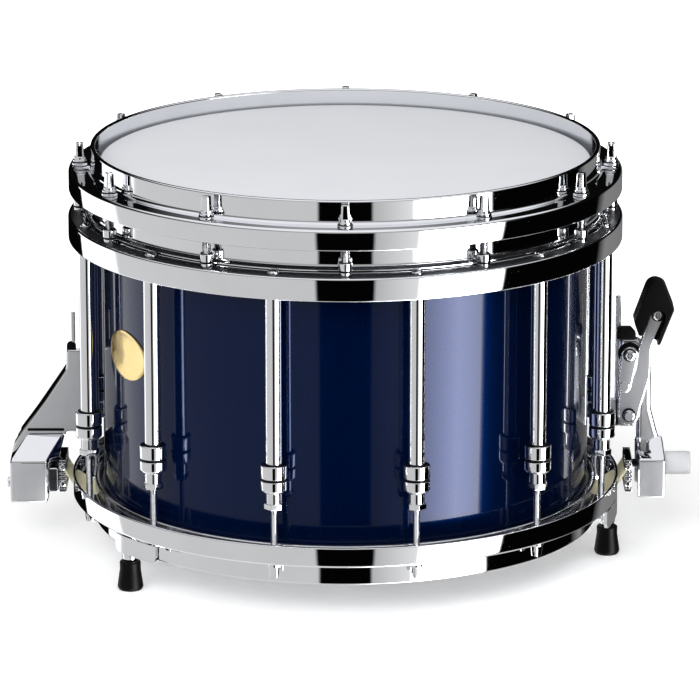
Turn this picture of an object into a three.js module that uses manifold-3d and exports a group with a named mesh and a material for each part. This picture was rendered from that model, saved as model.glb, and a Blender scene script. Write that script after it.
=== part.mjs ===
// Marching snare drum with a floating shell. Millimetres, +Z up.
// The origin is the centre of the batter head's playing face, and the front is towards -Y.
// The shell stands between two heads. The batter hoop is drawn down to the frame ring by twelve rods,
// and the snare hoop is drawn up to the twelve tube lugs that hang from the frame ring.
import * as THREE from "three";
import { mergeVertices } from "three/addons/utils/BufferGeometryUtils.js";
import { ConvexGeometry } from "three/addons/geometries/ConvexGeometry.js";
import Module from "manifold-3d";

const wasm = await Module();
wasm.setup();

// Clearances and cutting
const fit = 0.3;
const runningFit = 0.6;
const cutOverrun = 2;
const joinOverlap = 0.6;
const weldDistance = 0.0001;

// Facets of round pieces
const ringFacets = 48;
const rodFacets = 8;
const pinFacets = 12;
const ovalFacets = 24;
const footWallFacets = 3;

// Shell and heads
const drumDepth = 254;
const shellRadius = 177;
const shellWall = 5;
const edgeRound = 2.5;
const filmThickness = 0.5;
const filmSkirt = 15;
const fleshHoopDrop = 8;
const fleshHoopHeight = 9;
const fleshHoopWidth = 5.6;
const fleshHoopChamfer = 1.4;

// Tension rods
const rodCount = 12;
const snareTurnShare = 0.5;
const rodRadius = 3.1;
const washerRadius = 5.65;
const washerHeight = 4.4;
const keySquare = 6.6;
const keyHeight = 12;
const rodBelowFrame = 10;
const snareRodRadius = 2.5;
const snareWasherRadius = 4.8;
const snareWasherHeight = 2.4;
const snareKeyHeight = 8;
const snareRodEngage = 21;

// Counterhoops
const rimWall = 3.5;
const rimRise = 11.5;
const rimChamfer = 0.8;
const washerRimGap = 2.35;
const flangeLedge = 2.45;
const flangeThickness = 2;
const hoopWall = 2.5;
const hoopFillet = 3.4;
const hoopCorner = 1.2;
const hoopSkirt = 14.7;

// Snare gates, the windows in the snare hoop that the strands run through
const gateWidth = 52;
const gateBand = 4.2;
const gateSill = 3.5;

// Frame ring
const tuningGap = 3.5;
const frameShellGap = 3.5;
const frameUpright = 3.5;
const frameUprightHeight = 19;
const frameFlangeThickness = 2.5;
const frameWall = 2.5;
const frameFillet = 6;
const frameCorner = 3;
const frameBand = 16.8;
const tubeBandGap = 0.7;
const bossWall = 1.5;
const bossHeight = 5.3;

// Tube lugs
const tubeRadius = 5.5;
const lugScrewRadius = 2.5;
const lugDomeRadius = 4.4;
const lugDomeHeight = 3;
const collarRadius = 9.3;
const collarChamfer = 0.9;
const upperCollarHeight = 12;
const collarGroove = 1;
const lowerCollarHeight = 7.9;
const neckRadius = 5.8;
const neckHeight = 8.6;
const nutRadius = 7.2;
const nutHeight = 4.3;
const rodShow = 24.9;
const boreDepth = 24;

// Feet
const footCount = 3;
const footRodIndex = 10;
const footRodStep = 4;
const footTurns = [-7.5, 5.5, -7.5];
const footStemRadius = 6.2;
const footStemNeck = 4.8;
const footStemDrop = 19;
const footPinRadius = 3.6;
const footPinLength = 10;
const footWallThickness = 2.4;
const footWallHeight = 13;
const footWallArc = 13;
const rubberTopRadius = 7.6;
const rubberFootRadius = 9.3;
const rubberHeight = 21.2;
const rubberRound = 2;

// Badge
const badgeAzimuth = -62;
const badgeWidth = 58;
const badgeHeight = 35;
const badgeThickness = 0.8;
const badgeDrop = 125.5;

// Snare strands
const strandCount = 12;
const strandPitch = 3.3;
const strandThickness = 1.2;
const strandLift = 18;
const strandBendInset = 1.3;
const barGap = 3.4;
const barThickness = 6;
const barDepth = 24;
const barUnder = 11;
const barSide = 2;

// Strainer, the throw-off on the right
const hangerRadius = 2.6;
const hangerShellGap = 3.4;
const plateThickness = 3;
const leverThickness = 2.5;
const linkThickness = 2;
const layerGap = 0.3;
const pivotOut = 7.1;
const pivotRise = 41.6;
const pivotRadius = 3.2;
const pivotHeadRadius = 4.3;
const pivotHeadHeight = 2;
const leverSpan = 78.1;
const leverEndRadius = 4.8;
const lobeRadius = 8.3;
const linkDropOut = 3.8;
const linkTopDrop = 12;
const linkBottomRise = 21.8;
const linkTopRadius = 6.2;
const linkBottomRadius = 5.2;
const rivetRadius = 4;
const rivetHeight = 1;
const earHeight = 21;
const postWidth = 3.9;
const postOut = 3.1;
const postTopRise = 88.1;
const carriageWidth = 36;
const carriageHeight = 87;
const boxHalfWidth = 22;
const boxWall = 3;
const boxOut = 13.4;
const boxReach = 20;
const boxTopRise = 12.2;
const boxHeight = 29;
const roofRise = 12.3;
const roofShift = 1.6;
const headBlockWidth = 10.5;
const headBlockHeight = 8.5;
const headBlockDepth = 9;
const knobRadius = 8.5;
const knobLength = 19;
const knobChamfer = 1.2;
const knobShaftRadius = 3;
const knobRise = 3.8;
const gripWidth = 29.2;
const gripHeight = 47.8;
const gripHalfDepth = 12;

// Butt end, the fixed snare anchor on the left
const buttPlateWidth = 65.3;
const buttPlateHeight = 80.3;
const buttRise = 90.2;
const buttBoxOut = 17.9;
const buttBoxReach = 27;
const buttBoxHeight = 31.5;
const buttBoxTopRise = 11.1;
const buttRoofRise = 16.8;
const buttRoofShift = 13;
const buttPostHeight = 21.9;
const buttPostWidth = 3;
const buttPostShare = 0.254;
const buttCapShare = 0.359;
const buttHangerShare = 0.78;
const buttCapHeight = 6;
const buttClampWidth = 8.6;
const buttClampHeight = 18.5;
const buttScrewRadius = 2;
const buttScrewHead = 3.9;
const buttScrewHeadHeight = 2;
const buttScrewOffset = 15;
const buttClampDrop = 4.2;
const buttFlangeDepth = 20;
const buttFlangeThickness = 2;

// Worked-out radii
const filmInner = shellRadius + fit;
const filmOuter = filmInner + filmThickness;
const fleshInner = filmOuter + fit;
const fleshOuter = fleshInner + fleshHoopWidth;
const rimRadius = fleshOuter + fit;
const rimInner = rimRadius - rimWall;
const rodCircle = rimRadius + washerRimGap + washerRadius;
const hoopRadius = rodCircle + washerRadius + flangeLedge;
const hoopInner = hoopRadius - hoopWall;
const frameInner = shellRadius + frameShellGap;
const uprightOuter = frameInner + frameUpright;
const bandInner = rodCircle + tubeRadius + tubeBandGap;
const frameRadius = bandInner + frameWall;
const bossRadius = rodRadius + runningFit + bossWall;

// Worked-out heights
const fleshTop = -fleshHoopDrop;
const fleshBottom = fleshTop - fleshHoopHeight;
const flangeBottom = fleshTop + fit;
const flangeTop = flangeBottom + flangeThickness;
const skirtEnd = flangeTop - hoopSkirt;
const frameTop = fleshBottom - tuningGap;
const frameFlangeTop = frameTop - frameUprightHeight;
const frameFlangeBottom = frameFlangeTop - frameFlangeThickness;
const frameBandEnd = frameFlangeTop - frameBand;
const snareFace = snareSide(0);
const snareFlangeFace = snareSide(flangeTop);
const snareHoopTop = snareSide(skirtEnd);
const snareRimEnd = snareSide(rimRise);
const lugBottom = snareHoopTop + rodShow;
const strainerZ = snareHoopTop + pivotRise;
const strandEndZ = snareFace + strandLift;
const buttScrewZ = strandEndZ - buttClampDrop;
const knobZ = snareHoopTop + knobRise;
const strainerBoxTop = snareHoopTop + boxTopRise;
const carriageTop = strainerBoxTop + carriageHeight;

const HALF_TURN = Math.PI;
const QUARTER_TURN = Math.PI / 2;
const RODS_TURN = (2 * Math.PI) / rodCount;

// The height on the snare side that mirrors a height on the batter side
function snareSide(z) {
  return -drumDepth - z;
}

function finish(colour, roughness, metalness) {
  return new THREE.MeshStandardMaterial({ color: colour, roughness, metalness });
}

const chrome = finish(0xd8dadc, 0.08, 1);
const satinAlloy = finish(0xb9bbbf, 0.42, 0.9);
const blueLacquer = finish(0x0a1650, 0.18, 0.5);
const filmWhite = finish(0xe4e5e8, 0.45, 0);
const blackRubber = finish(0x141415, 0.6, 0);
const goldPlate = finish(0xc9a24a, 0.25, 1);
const nylon = finish(0xd9d3ae, 0.5, 0);
const paleKnob = finish(0xe9e9ea, 0.35, 0.1);

// Vertices welded, collapsed triangles dropped and faces turned outwards
function closedBody(source) {
  const bare = source.clone();
  bare.deleteAttribute("normal");
  bare.deleteAttribute("uv");
  const welded = mergeVertices(bare, weldDistance);
  const place = welded.getAttribute("position");
  const kept = [];
  const corners = welded.index.array;
  for (let i = 0; i < corners.length; i += 3) {
    const [a, b, c] = [corners[i], corners[i + 1], corners[i + 2]];
    if (a !== b && b !== c && c !== a) kept.push(a, b, c);
  }
  const [p, q, r] = [new THREE.Vector3(), new THREE.Vector3(), new THREE.Vector3()];
  let volume = 0;
  for (let i = 0; i < kept.length; i += 3) {
    p.fromBufferAttribute(place, kept[i]);
    q.fromBufferAttribute(place, kept[i + 1]);
    r.fromBufferAttribute(place, kept[i + 2]);
    volume += p.dot(q.cross(r));
  }
  if (volume < 0) kept.reverse();
  welded.setIndex(kept);
  return welded;
}

function solid(source) {
  const body = closedBody(source);
  return new wasm.Manifold(
    new wasm.Mesh({
      numProp: 3,
      vertProperties: new Float32Array(body.getAttribute("position").array),
      triVerts: new Uint32Array(body.index.array),
    }),
  );
}

function surface(manifold) {
  const mesh = manifold.getMesh();
  const geometry = new THREE.BufferGeometry();
  geometry.setAttribute("position", new THREE.BufferAttribute(new Float32Array(mesh.vertProperties), 3));
  geometry.setIndex(new THREE.BufferAttribute(new Uint32Array(mesh.triVerts), 1));
  geometry.computeVertexNormals();
  return geometry;
}

function joined(pieces) {
  return pieces.map(solid).reduce((sum, piece) => sum.add(piece));
}

function without(body, cutters) {
  return cutters.map(solid).reduce((rest, cutter) => rest.subtract(cutter), body);
}

// A profile of [radius, height] points turned about the Z axis; azimuth 0 is the front
function turned(points, facets) {
  const outline = points.map(([radius, height]) => new THREE.Vector2(radius, height));
  return closedBody(new THREE.LatheGeometry(outline, facets).rotateX(QUARTER_TURN));
}

function ring(points) {
  return turned([...points, points[0]], ringFacets);
}

// An upright cylinder between two heights
function upright(radius, low, high, facets) {
  const pin = new THREE.CylinderGeometry(radius, radius, high - low, facets);
  return pin.rotateX(QUARTER_TURN).translate(0, 0, (low + high) / 2);
}

// A cylinder along Y between two places
function crossPin(radius, from, to, x, z, facets = pinFacets) {
  const pin = new THREE.CylinderGeometry(radius, radius, Math.abs(to - from), facets);
  return pin.translate(x, (from + to) / 2, z);
}

// A cylinder along X between two places
function sidePin(radius, from, to, y, z, facets = pinFacets) {
  const pin = new THREE.CylinderGeometry(radius, radius, Math.abs(to - from), facets);
  return pin.rotateZ(QUARTER_TURN).translate((from + to) / 2, y, z);
}

// A box between two opposite corners
function block(x0, x1, y0, y1, z0, z1) {
  const shape = new THREE.BoxGeometry(Math.abs(x1 - x0), Math.abs(y1 - y0), Math.abs(z1 - z0));
  return shape.translate((x0 + x1) / 2, (y0 + y1) / 2, (z0 + z1) / 2);
}

// An outline of [x, z] points made into a plate between two places along Y
function plate(outline, yFront, yBack) {
  const shape = new THREE.Shape(outline.map(([x, z]) => new THREE.Vector2(x, z)));
  const flat = new THREE.ExtrudeGeometry(shape, { depth: yBack - yFront, bevelEnabled: false });
  return flat.rotateX(QUARTER_TURN).translate(0, yBack, 0);
}

// Points of an arc in the X-Z plane; angles in degrees from +X, anticlockwise
function arc(x, z, radius, fromDegrees, toDegrees, steps) {
  return Array.from({ length: steps + 1 }, (_, i) => {
    const angle = THREE.MathUtils.degToRad(fromDegrees + ((toDegrees - fromDegrees) * i) / steps);
    return [x + radius * Math.cos(angle), z + radius * Math.sin(angle)];
  });
}

// Shares of a width and a height, measured from a corner or a pivot
function scaled(shares, x, z, width, height) {
  return shares.map(([u, v]) => [x + u * width, z + v * height]);
}

// A quarter round in a profile, worked out between two directions
function bend(centreRadius, centreHeight, size, fromDegrees, toDegrees) {
  const steps = 2;
  return arc(centreRadius, centreHeight, size, fromDegrees, toDegrees, steps);
}

function onCircle(geometry, radius, azimuth) {
  return geometry.clone().translate(0, -radius, 0).rotateZ(azimuth);
}

function shell() {
  const top = -filmThickness - fit;
  const bottom = snareSide(top);
  const slope = shellWall - edgeRound;
  return ring([
    [shellRadius - shellWall, top - slope],
    [shellRadius - edgeRound, top],
    [shellRadius, top - edgeRound],
    [shellRadius, bottom + edgeRound],
    [shellRadius - edgeRound, bottom],
    [shellRadius - shellWall, bottom + slope],
  ]);
}

// The stretched film: a disc that turns down over the shell's edge into the flesh hoop
function headFilm() {
  return turned(
    [
      [0, 0],
      [filmOuter - edgeRound, 0],
      [filmOuter, -edgeRound],
      [filmOuter, -filmSkirt],
      [filmInner, -filmSkirt],
      [filmInner, -filmThickness - edgeRound],
      [filmInner - edgeRound, -filmThickness],
      [0, -filmThickness],
    ],
    ringFacets,
  );
}

function fleshHoop() {
  return ring([
    [fleshInner, fleshBottom],
    [fleshInner, fleshTop],
    [fleshOuter, fleshTop],
    [fleshOuter, fleshBottom + fleshHoopChamfer],
    [fleshOuter - fleshHoopChamfer, fleshBottom],
  ]);
}

// The counterhoop: an upright rim, a flange that the washers sit on, and an outer skirt
function counterhoopRing() {
  return ring([
    [rimInner, flangeBottom],
    [rimInner, rimRise - rimChamfer],
    [rimInner + rimChamfer, rimRise],
    [rimRadius - rimChamfer, rimRise],
    [rimRadius, rimRise - rimChamfer],
    ...bend(rimRadius + hoopFillet, flangeTop + hoopFillet, hoopFillet, 180, 270),
    ...bend(hoopRadius - hoopCorner, flangeTop - hoopCorner, hoopCorner, 90, 0),
    [hoopRadius, skirtEnd],
    [hoopInner, skirtEnd],
    [hoopInner, flangeBottom],
  ]);
}

function roundHoles(radius, low, high, turn) {
  return Array.from({ length: rodCount }, (_, i) =>
    onCircle(upright(radius, low, high, rodFacets), rodCircle, (i + turn) * RODS_TURN),
  );
}

function batterHoop() {
  const holes = roundHoles(rodRadius + runningFit, flangeBottom - cutOverrun, flangeTop + cutOverrun, 0);
  return surface(without(solid(counterhoopRing()), holes));
}

function snareHoop() {
  const flipped = solid(counterhoopRing().rotateX(HALF_TURN).translate(0, 0, -drumDepth));
  const low = snareFlangeFace - cutOverrun;
  const high = snareSide(flangeBottom) + cutOverrun;
  const holes = roundHoles(snareRodRadius + runningFit, low, high, snareTurnShare);
  const reach = hoopRadius + cutOverrun;
  const gateTop = snareHoopTop - gateBand;
  const gates = block(-reach, reach, -gateWidth / 2, gateWidth / 2, snareRimEnd + gateSill, gateTop);
  return surface(without(flipped, [...holes, gates]));
}

// The frame ring: an upright wall, a flange with the rods' bosses, and an outer band
function frameRing() {
  const body = ring([
    [frameInner, frameFlangeBottom],
    [frameInner, frameTop],
    [uprightOuter, frameTop],
    ...bend(uprightOuter + frameFillet, frameFlangeTop + frameFillet, frameFillet, 180, 270),
    ...bend(frameRadius - frameCorner, frameFlangeTop - frameCorner, frameCorner, 90, 0),
    [frameRadius, frameBandEnd],
    [bandInner, frameBandEnd],
    [bandInner, frameFlangeBottom],
  ]);
  const bossTop = frameFlangeTop + bossHeight;
  const boss = upright(bossRadius, frameFlangeTop - joinOverlap, bossTop, rodFacets);
  const bosses = Array.from({ length: rodCount }, (_, i) => onCircle(boss, rodCircle, i * RODS_TURN));
  const low = frameFlangeBottom - cutOverrun;
  const rodHoles = roundHoles(rodRadius + runningFit, low, bossTop + cutOverrun, 0);
  const seatTop = frameFlangeTop + cutOverrun;
  const screwHoles = roundHoles(lugScrewRadius + runningFit, low, seatTop, snareTurnShare);
  const screwSeats = roundHoles(lugDomeRadius + fit, frameFlangeTop, seatTop, snareTurnShare);
  return surface(without(joined([body, ...bosses]), [...rodHoles, ...screwHoles, ...screwSeats]));
}

// A tube lug with its dome screw above the frame ring and its threaded bore below
function tubeLug() {
  const domeBase = frameFlangeTop + fit;
  const tubeTop = frameFlangeBottom - fit;
  const nutTop = lugBottom + nutHeight;
  const neckTop = nutTop + neckHeight;
  const grooveLow = neckTop + lowerCollarHeight;
  const grooveHigh = grooveLow + collarGroove;
  const collarTop = grooveHigh + upperCollarHeight;
  const bore = snareRodRadius + runningFit;
  return turned(
    [
      [0, domeBase + lugDomeHeight],
      [lugDomeRadius * Math.SQRT1_2, domeBase + lugDomeHeight * Math.SQRT1_2],
      [lugDomeRadius, domeBase],
      [lugScrewRadius, domeBase],
      [lugScrewRadius, tubeTop],
      [tubeRadius, tubeTop],
      [tubeRadius, collarTop],
      [collarRadius - collarChamfer, collarTop],
      [collarRadius, collarTop - collarChamfer],
      [collarRadius, grooveHigh],
      [collarRadius - collarChamfer, grooveHigh],
      [collarRadius - collarChamfer, grooveLow],
      [collarRadius, grooveLow],
      [collarRadius, neckTop],
      [neckRadius, neckTop],
      [neckRadius, nutTop],
      [nutRadius, nutTop],
      [nutRadius, lugBottom],
      [bore, lugBottom],
      [bore, lugBottom + boreDepth],
      [0, lugBottom + boreDepth],
    ],
    rodFacets,
  );
}

function squareHead(low, high) {
  const half = keySquare / 2;
  return block(-half, half, -half, half, low, high);
}

function batterRod() {
  const washerBase = flangeTop + fit;
  const headBase = washerBase + washerHeight;
  const end = frameFlangeBottom - rodBelowFrame;
  const shaft = turned(
    [
      [0, headBase],
      [washerRadius, headBase],
      [washerRadius, washerBase],
      [rodRadius, washerBase],
      [rodRadius, end],
      [0, end],
    ],
    rodFacets,
  );
  return surface(joined([shaft, squareHead(headBase - joinOverlap, headBase + keyHeight)]));
}

function snareRod() {
  const washerTop = snareFlangeFace - fit;
  const headTop = washerTop - snareWasherHeight;
  const end = lugBottom + snareRodEngage;
  const shaft = turned(
    [
      [0, end],
      [snareRodRadius, end],
      [snareRodRadius, washerTop],
      [snareWasherRadius, washerTop],
      [snareWasherRadius, headTop],
      [0, headTop],
    ],
    rodFacets,
  );
  return surface(joined([shaft, squareHead(headTop - snareKeyHeight, headTop + joinOverlap)]));
}

// A foot's bracket: a curved wall just inside the skirt's line, and the stem that the rubber foot is on
function footBracket(turnDegrees) {
  const top = snareFlangeFace - fit;
  const wallOuter = hoopRadius - fit;
  const half = THREE.MathUtils.degToRad(footWallArc / 2);
  const middle = THREE.MathUtils.degToRad(turnDegrees / 2) - QUARTER_TURN;
  const outline = new THREE.Shape();
  outline.absarc(0, 0, wallOuter, middle - half, middle + half, false);
  outline.absarc(0, 0, wallOuter - footWallThickness, middle + half, middle - half, true);
  const wall = new THREE.ExtrudeGeometry(outline, {
    depth: footWallHeight,
    bevelEnabled: false,
    curveSegments: footWallFacets,
  }).translate(0, 0, top - footWallHeight);
  const shoulder = top - footStemDrop;
  const stem = turned(
    [
      [0, top],
      [footStemRadius, top],
      [footStemRadius, top - footWallHeight],
      [footStemNeck, shoulder],
      [footPinRadius, shoulder],
      [footPinRadius, shoulder - footPinLength],
      [0, shoulder - footPinLength],
    ],
    rodFacets,
  );
  const placed = onCircle(stem, wallOuter - footStemRadius, THREE.MathUtils.degToRad(turnDegrees));
  return surface(joined([wall, placed]));
}

function rubberFoot() {
  const top = snareFlangeFace - fit - footStemDrop - fit;
  const base = top - rubberHeight;
  const socket = footPinRadius + fit;
  const socketEnd = top - footPinLength - fit;
  return turned(
    [
      [0, socketEnd],
      [socket, socketEnd],
      [socket, top],
      [rubberTopRadius, top],
      [rubberFootRadius, base + rubberRound],
      [rubberFootRadius - rubberRound, base],
      [0, base],
    ],
    rodFacets,
  );
}

// The oval plate on the shell, bent to the shell's curve
function badge() {
  const inner = shellRadius + fit;
  const outer = inner + badgeThickness;
  const low = -badgeDrop - badgeHeight;
  const high = -badgeDrop + badgeHeight;
  const sleeve = solid(ring([[inner, low], [inner, high], [outer, high], [outer, low]]));
  const half = badgeWidth / 2;
  const oval = new THREE.CylinderGeometry(half, half, shellWall + cutOverrun, ovalFacets);
  oval.scale(1, 1, badgeHeight / badgeWidth).translate(0, -outer, -badgeDrop);
  const cutter = solid(oval.rotateZ(THREE.MathUtils.degToRad(badgeAzimuth)));
  return surface(sleeve.intersect(cutter));
}

// Gut-like strands under the snare head, bent up over the shell's edge to a bar at each end
function snareStrands() {
  const headZ = snareFace - fit;
  const bendX = filmOuter - strandBendInset;
  const barX = hoopRadius + barGap;
  const endX = barX + joinOverlap;
  const upper = [[-endX, strandEndZ], [-bendX, headZ], [bendX, headZ], [endX, strandEndZ]];
  const lower = upper.map(([x, z]) => [x, z - strandThickness]).reverse();
  const first = -((strandCount - 1) * strandPitch) / 2;
  const strands = Array.from({ length: strandCount }, (_, i) => {
    const y = first + i * strandPitch;
    return plate([...upper, ...lower], y - strandThickness / 2, y + strandThickness / 2);
  });
  const half = (strandCount * strandPitch) / 2 - barSide;
  const barLow = strandEndZ - barUnder;
  const bars = [-1, 1].map((side) =>
    block(side * barX, side * (barX + barThickness), -half, half, barLow, barLow + barDepth),
  );
  return surface(joined([...bars, ...strands]));
}

// Layers of the strainer along Y, from the carriage's plate at the middle to the front
const plateBack = plateThickness / 2;
const plateFront = -plateBack;
const leverBack = plateFront - layerGap;
const leverFront = leverBack - leverThickness;
const linkBack = leverFront - layerGap;
const linkFront = linkBack - linkThickness;
const earFront = plateBack + layerGap;
const earBack = earFront + plateThickness;
const pivotX = hoopRadius + pivotOut;
const linkTop = [pivotX, carriageTop - linkTopDrop];
const linkBottom = [pivotX - linkDropOut, strainerZ + linkBottomRise];

// The fixed bracket: a hanger rod under the frame ring, an ear with the lever's pivot, and a guide post
function strainerBracket() {
  const hangerX = shellRadius + hangerShellGap + hangerRadius;
  const hangerY = (earFront + earBack) / 2;
  const earTop = strainerZ + earHeight / 2;
  const earBottom = strainerZ - earHeight / 2;
  const hanger = upright(hangerRadius, earBottom, frameFlangeBottom - fit, rodFacets);
  const postX = hoopRadius - postOut;
  const earEnd = pivotX + pivotHeadRadius;
  const pieces = [
    hanger.translate(hangerX, hangerY, 0),
    block(hangerX, earEnd, earFront, earBack, earBottom, earTop),
    block(postX, postX + postWidth, earFront, earBack, earBottom, strainerZ + postTopRise),
    crossPin(pivotRadius, linkFront, earFront + joinOverlap, pivotX, strainerZ),
    crossPin(pivotHeadRadius, linkFront - pivotHeadHeight, linkFront + joinOverlap, pivotX, strainerZ),
  ];
  return surface(joined(pieces));
}

// Shares of the lever's span, from its pivot to the grip's screw
const leverTipShare = [0.26, 0.965];
const leverLeftShares = [[0.078, 0.641], [0.049, 0.398], [-0.1, 0.234]];
const leverRightShares = [[0.19, 0.31], [0.197, 0.37], [0.202, 0.641]];

const leverTip = scaled([leverTipShare], pivotX, strainerZ, leverSpan, leverSpan)[0];
const leverLeft = scaled(leverLeftShares, pivotX, strainerZ, leverSpan, leverSpan);
const leverRight = scaled(leverRightShares, pivotX, strainerZ, leverSpan, leverSpan);

function leverOutline() {
  return [
    ...arc(...leverTip, leverEndRadius, -15, 165, 6),
    ...leverLeft,
    ...arc(pivotX, strainerZ, lobeRadius, 170, 380, 8),
    ...leverRight,
  ];
}

// The lever's upper end with a clearance all round, which the grip is open for
function leverEndOutline() {
  const [leftX, leftZ] = leverLeft[0];
  const [rightX, rightZ] = leverRight[leverRight.length - 1];
  return [
    ...arc(...leverTip, leverEndRadius + fit, -15, 165, 6),
    [leftX - fit, leftZ],
    [rightX + fit, rightZ],
  ];
}

function throwLever() {
  const body = solid(plate(leverOutline(), leverFront, leverBack));
  const front = leverFront - cutOverrun;
  const back = leverBack + cutOverrun;
  return surface(without(body, [crossPin(pivotRadius + runningFit, front, back, pivotX, strainerZ)]));
}

// Shares of the grip's width and height, from its lower left corner
const gripShares = [
  [0, 0.364], [0.332, 0.935], [0.52, 1], [0.764, 0.94], [1, 0.571], [0.644, 0], [0.524, 0.04],
  [0.72, 0.44], [0.42, 0.4], [0.154, 0.094],
];
const gripTipShare = [0.61, 0.435];

// The grip: a rubber sleeve round the lever's top, open at the front over the lever's screw
function leverGrip() {
  const cornerX = leverTip[0] - gripTipShare[0] * gripWidth;
  const cornerZ = leverTip[1] - gripTipShare[1] * gripHeight;
  const outline = scaled(gripShares, cornerX, cornerZ, gripWidth, gripHeight);
  const middle = (leverFront + leverBack) / 2;
  const body = solid(plate(outline, middle - gripHalfDepth, middle + gripHalfDepth));
  const opening = plate(leverEndOutline(), middle - gripHalfDepth - cutOverrun, leverBack + fit);
  return surface(without(body, [opening]));
}

// The link in front of the lever, with its rivet head below and its screw head above
function leverLink() {
  const [topX, topZ] = linkTop;
  const [lowX, lowZ] = linkBottom;
  const outline = [
    ...arc(topX, topZ, linkTopRadius, 0, 180, 6),
    ...arc(lowX, lowZ, linkBottomRadius, 180, 360, 6),
  ];
  const body = joined([
    plate(outline, linkFront, linkBack),
    crossPin(rivetRadius, linkFront - rivetHeight, linkFront + joinOverlap, lowX, lowZ),
  ]);
  const hole = crossPin(pivotRadius + runningFit, linkFront - cutOverrun, linkBack + cutOverrun, topX, topZ);
  return surface(without(body, [hole]));
}

// Shares of the carriage plate's width and height, from the box's lower outer corner
const carriageShares = [
  [-0.944, 0.48], [-0.944, 1], [-0.569, 1], [-0.286, 0.913], [-0.286, 0.39], [-0.156, 0.183], [0, 0],
  [-0.597, 0], [-0.597, 0.48],
];

// A box end with a ridge above and a sloping roof to each side, hollow towards the drum and below
function gableBox(side, out, reach, topZ, height, ridgeRise, ridgeShift) {
  const near = side * (hoopRadius + out);
  const far = side * (hoopRadius + out + reach);
  const lift = side * ridgeShift;
  const low = topZ - height;
  const points = [];
  for (const y of [-boxHalfWidth, boxHalfWidth]) {
    for (const x of [near, far]) {
      points.push(new THREE.Vector3(x, y, low), new THREE.Vector3(x, y, topZ));
    }
  }
  for (const x of [near, far]) points.push(new THREE.Vector3(x - lift, 0, topZ + ridgeRise));
  const shape = solid(new ConvexGeometry(points));
  const inside = block(
    near - side * (ridgeShift + cutOverrun),
    far - side * boxWall,
    boxWall - boxHalfWidth,
    boxHalfWidth - boxWall,
    low - cutOverrun,
    topZ - boxWall,
  );
  return without(shape, [inside]);
}

// The sliding carriage: its plate and box, the head block, and the pin that the link turns on
function strainerCarriage() {
  const far = hoopRadius + boxOut + boxReach;
  const outline = scaled(carriageShares, far, strainerBoxTop, carriageWidth, carriageHeight);
  const [topX, topZ] = linkTop;
  const headX = far - carriageWidth;
  const pieces = [
    plate(outline, plateFront, plateBack),
    block(headX, headX + headBlockWidth, plateBack - headBlockDepth, plateBack,
      carriageTop - joinOverlap, carriageTop + headBlockHeight),
    crossPin(pivotRadius, linkFront - pivotHeadHeight, plateFront + joinOverlap, topX, topZ),
    crossPin(pivotHeadRadius, linkFront - fit - pivotHeadHeight, linkFront - fit, topX, topZ),
  ];
  const box = gableBox(1, boxOut, boxReach, strainerBoxTop, boxHeight, roofRise, roofShift);
  const hole = sidePin(knobShaftRadius + runningFit, far - boxWall - cutOverrun, far + cutOverrun, 0, knobZ);
  return surface(without(joined(pieces).add(box), [hole]));
}

// The tension knob on its threaded shaft, which reaches through the box's outer wall
function tensionKnob() {
  const far = hoopRadius + boxOut + boxReach;
  const start = far + fit;
  const shaftEnd = hoopRadius + barGap + barThickness + runningFit;
  const profile = [
    [0, shaftEnd],
    [knobShaftRadius, shaftEnd],
    [knobShaftRadius, start],
    [knobRadius - knobChamfer, start],
    [knobRadius, start + knobChamfer],
    [knobRadius, start + knobLength - knobChamfer],
    [knobRadius - knobChamfer, start + knobLength],
    [0, start + knobLength],
  ];
  return turned(profile, pinFacets).rotateY(QUARTER_TURN).translate(0, 0, knobZ);
}

// Shares of the butt plate's width and height, from its upper corner at the drum
const buttShares = [
  [0, 0], [-buttCapShare, 0], [-0.362, -0.18], [-0.603, -0.48], [-0.955, -0.87], [-1, -1], [-0.6, -1],
  [-0.35, -buttHangerShare], [0, -buttHangerShare],
];
// The points of that outline between which its sloping side is folded back
const buttSlopeStart = 2;
const buttSlopeEnd = 5;

function buttBracket() {
  const hangerX = -(shellRadius + hangerShellGap + hangerRadius);
  const top = snareHoopTop + buttRise;
  const plateX = hangerX + hangerRadius;
  const outline = scaled(buttShares, plateX, top, buttPlateWidth, buttPlateHeight);
  const postX = plateX - buttPlateWidth * buttPostShare;
  const capEnd = plateX - buttPlateWidth * buttCapShare;
  const capTop = top + buttCapHeight;
  const hangerLow = top - buttPlateHeight * buttHangerShare;
  const hanger = upright(hangerRadius, hangerLow, frameFlangeBottom - fit, rodFacets);
  const slope = outline.slice(buttSlopeStart, buttSlopeEnd);
  const inside = slope.map(([x, z]) => [x + buttFlangeThickness, z]).reverse();
  const pieces = [
    hanger.translate(hangerX, 0, 0),
    plate(outline, plateFront, plateBack),
    plate([...slope, ...inside], plateFront, plateFront + buttFlangeDepth),
    block(capEnd, postX + buttPostWidth, plateFront, plateBack, top - joinOverlap, capTop),
    block(postX - buttPostWidth, postX, plateFront, plateBack, top, capTop + buttPostHeight),
  ];
  const boxTop = snareHoopTop + buttBoxTopRise;
  const box = gableBox(-1, buttBoxOut, buttBoxReach, boxTop, buttBoxHeight, buttRoofRise, buttRoofShift);
  const far = -(hoopRadius + buttBoxOut + buttBoxReach);
  const holes = [-buttScrewOffset, buttScrewOffset].map((y) =>
    sidePin(buttScrewRadius + runningFit, far - cutOverrun, far + boxWall + cutOverrun, y, buttScrewZ),
  );
  return surface(without(joined(pieces).add(box), holes));
}

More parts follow.
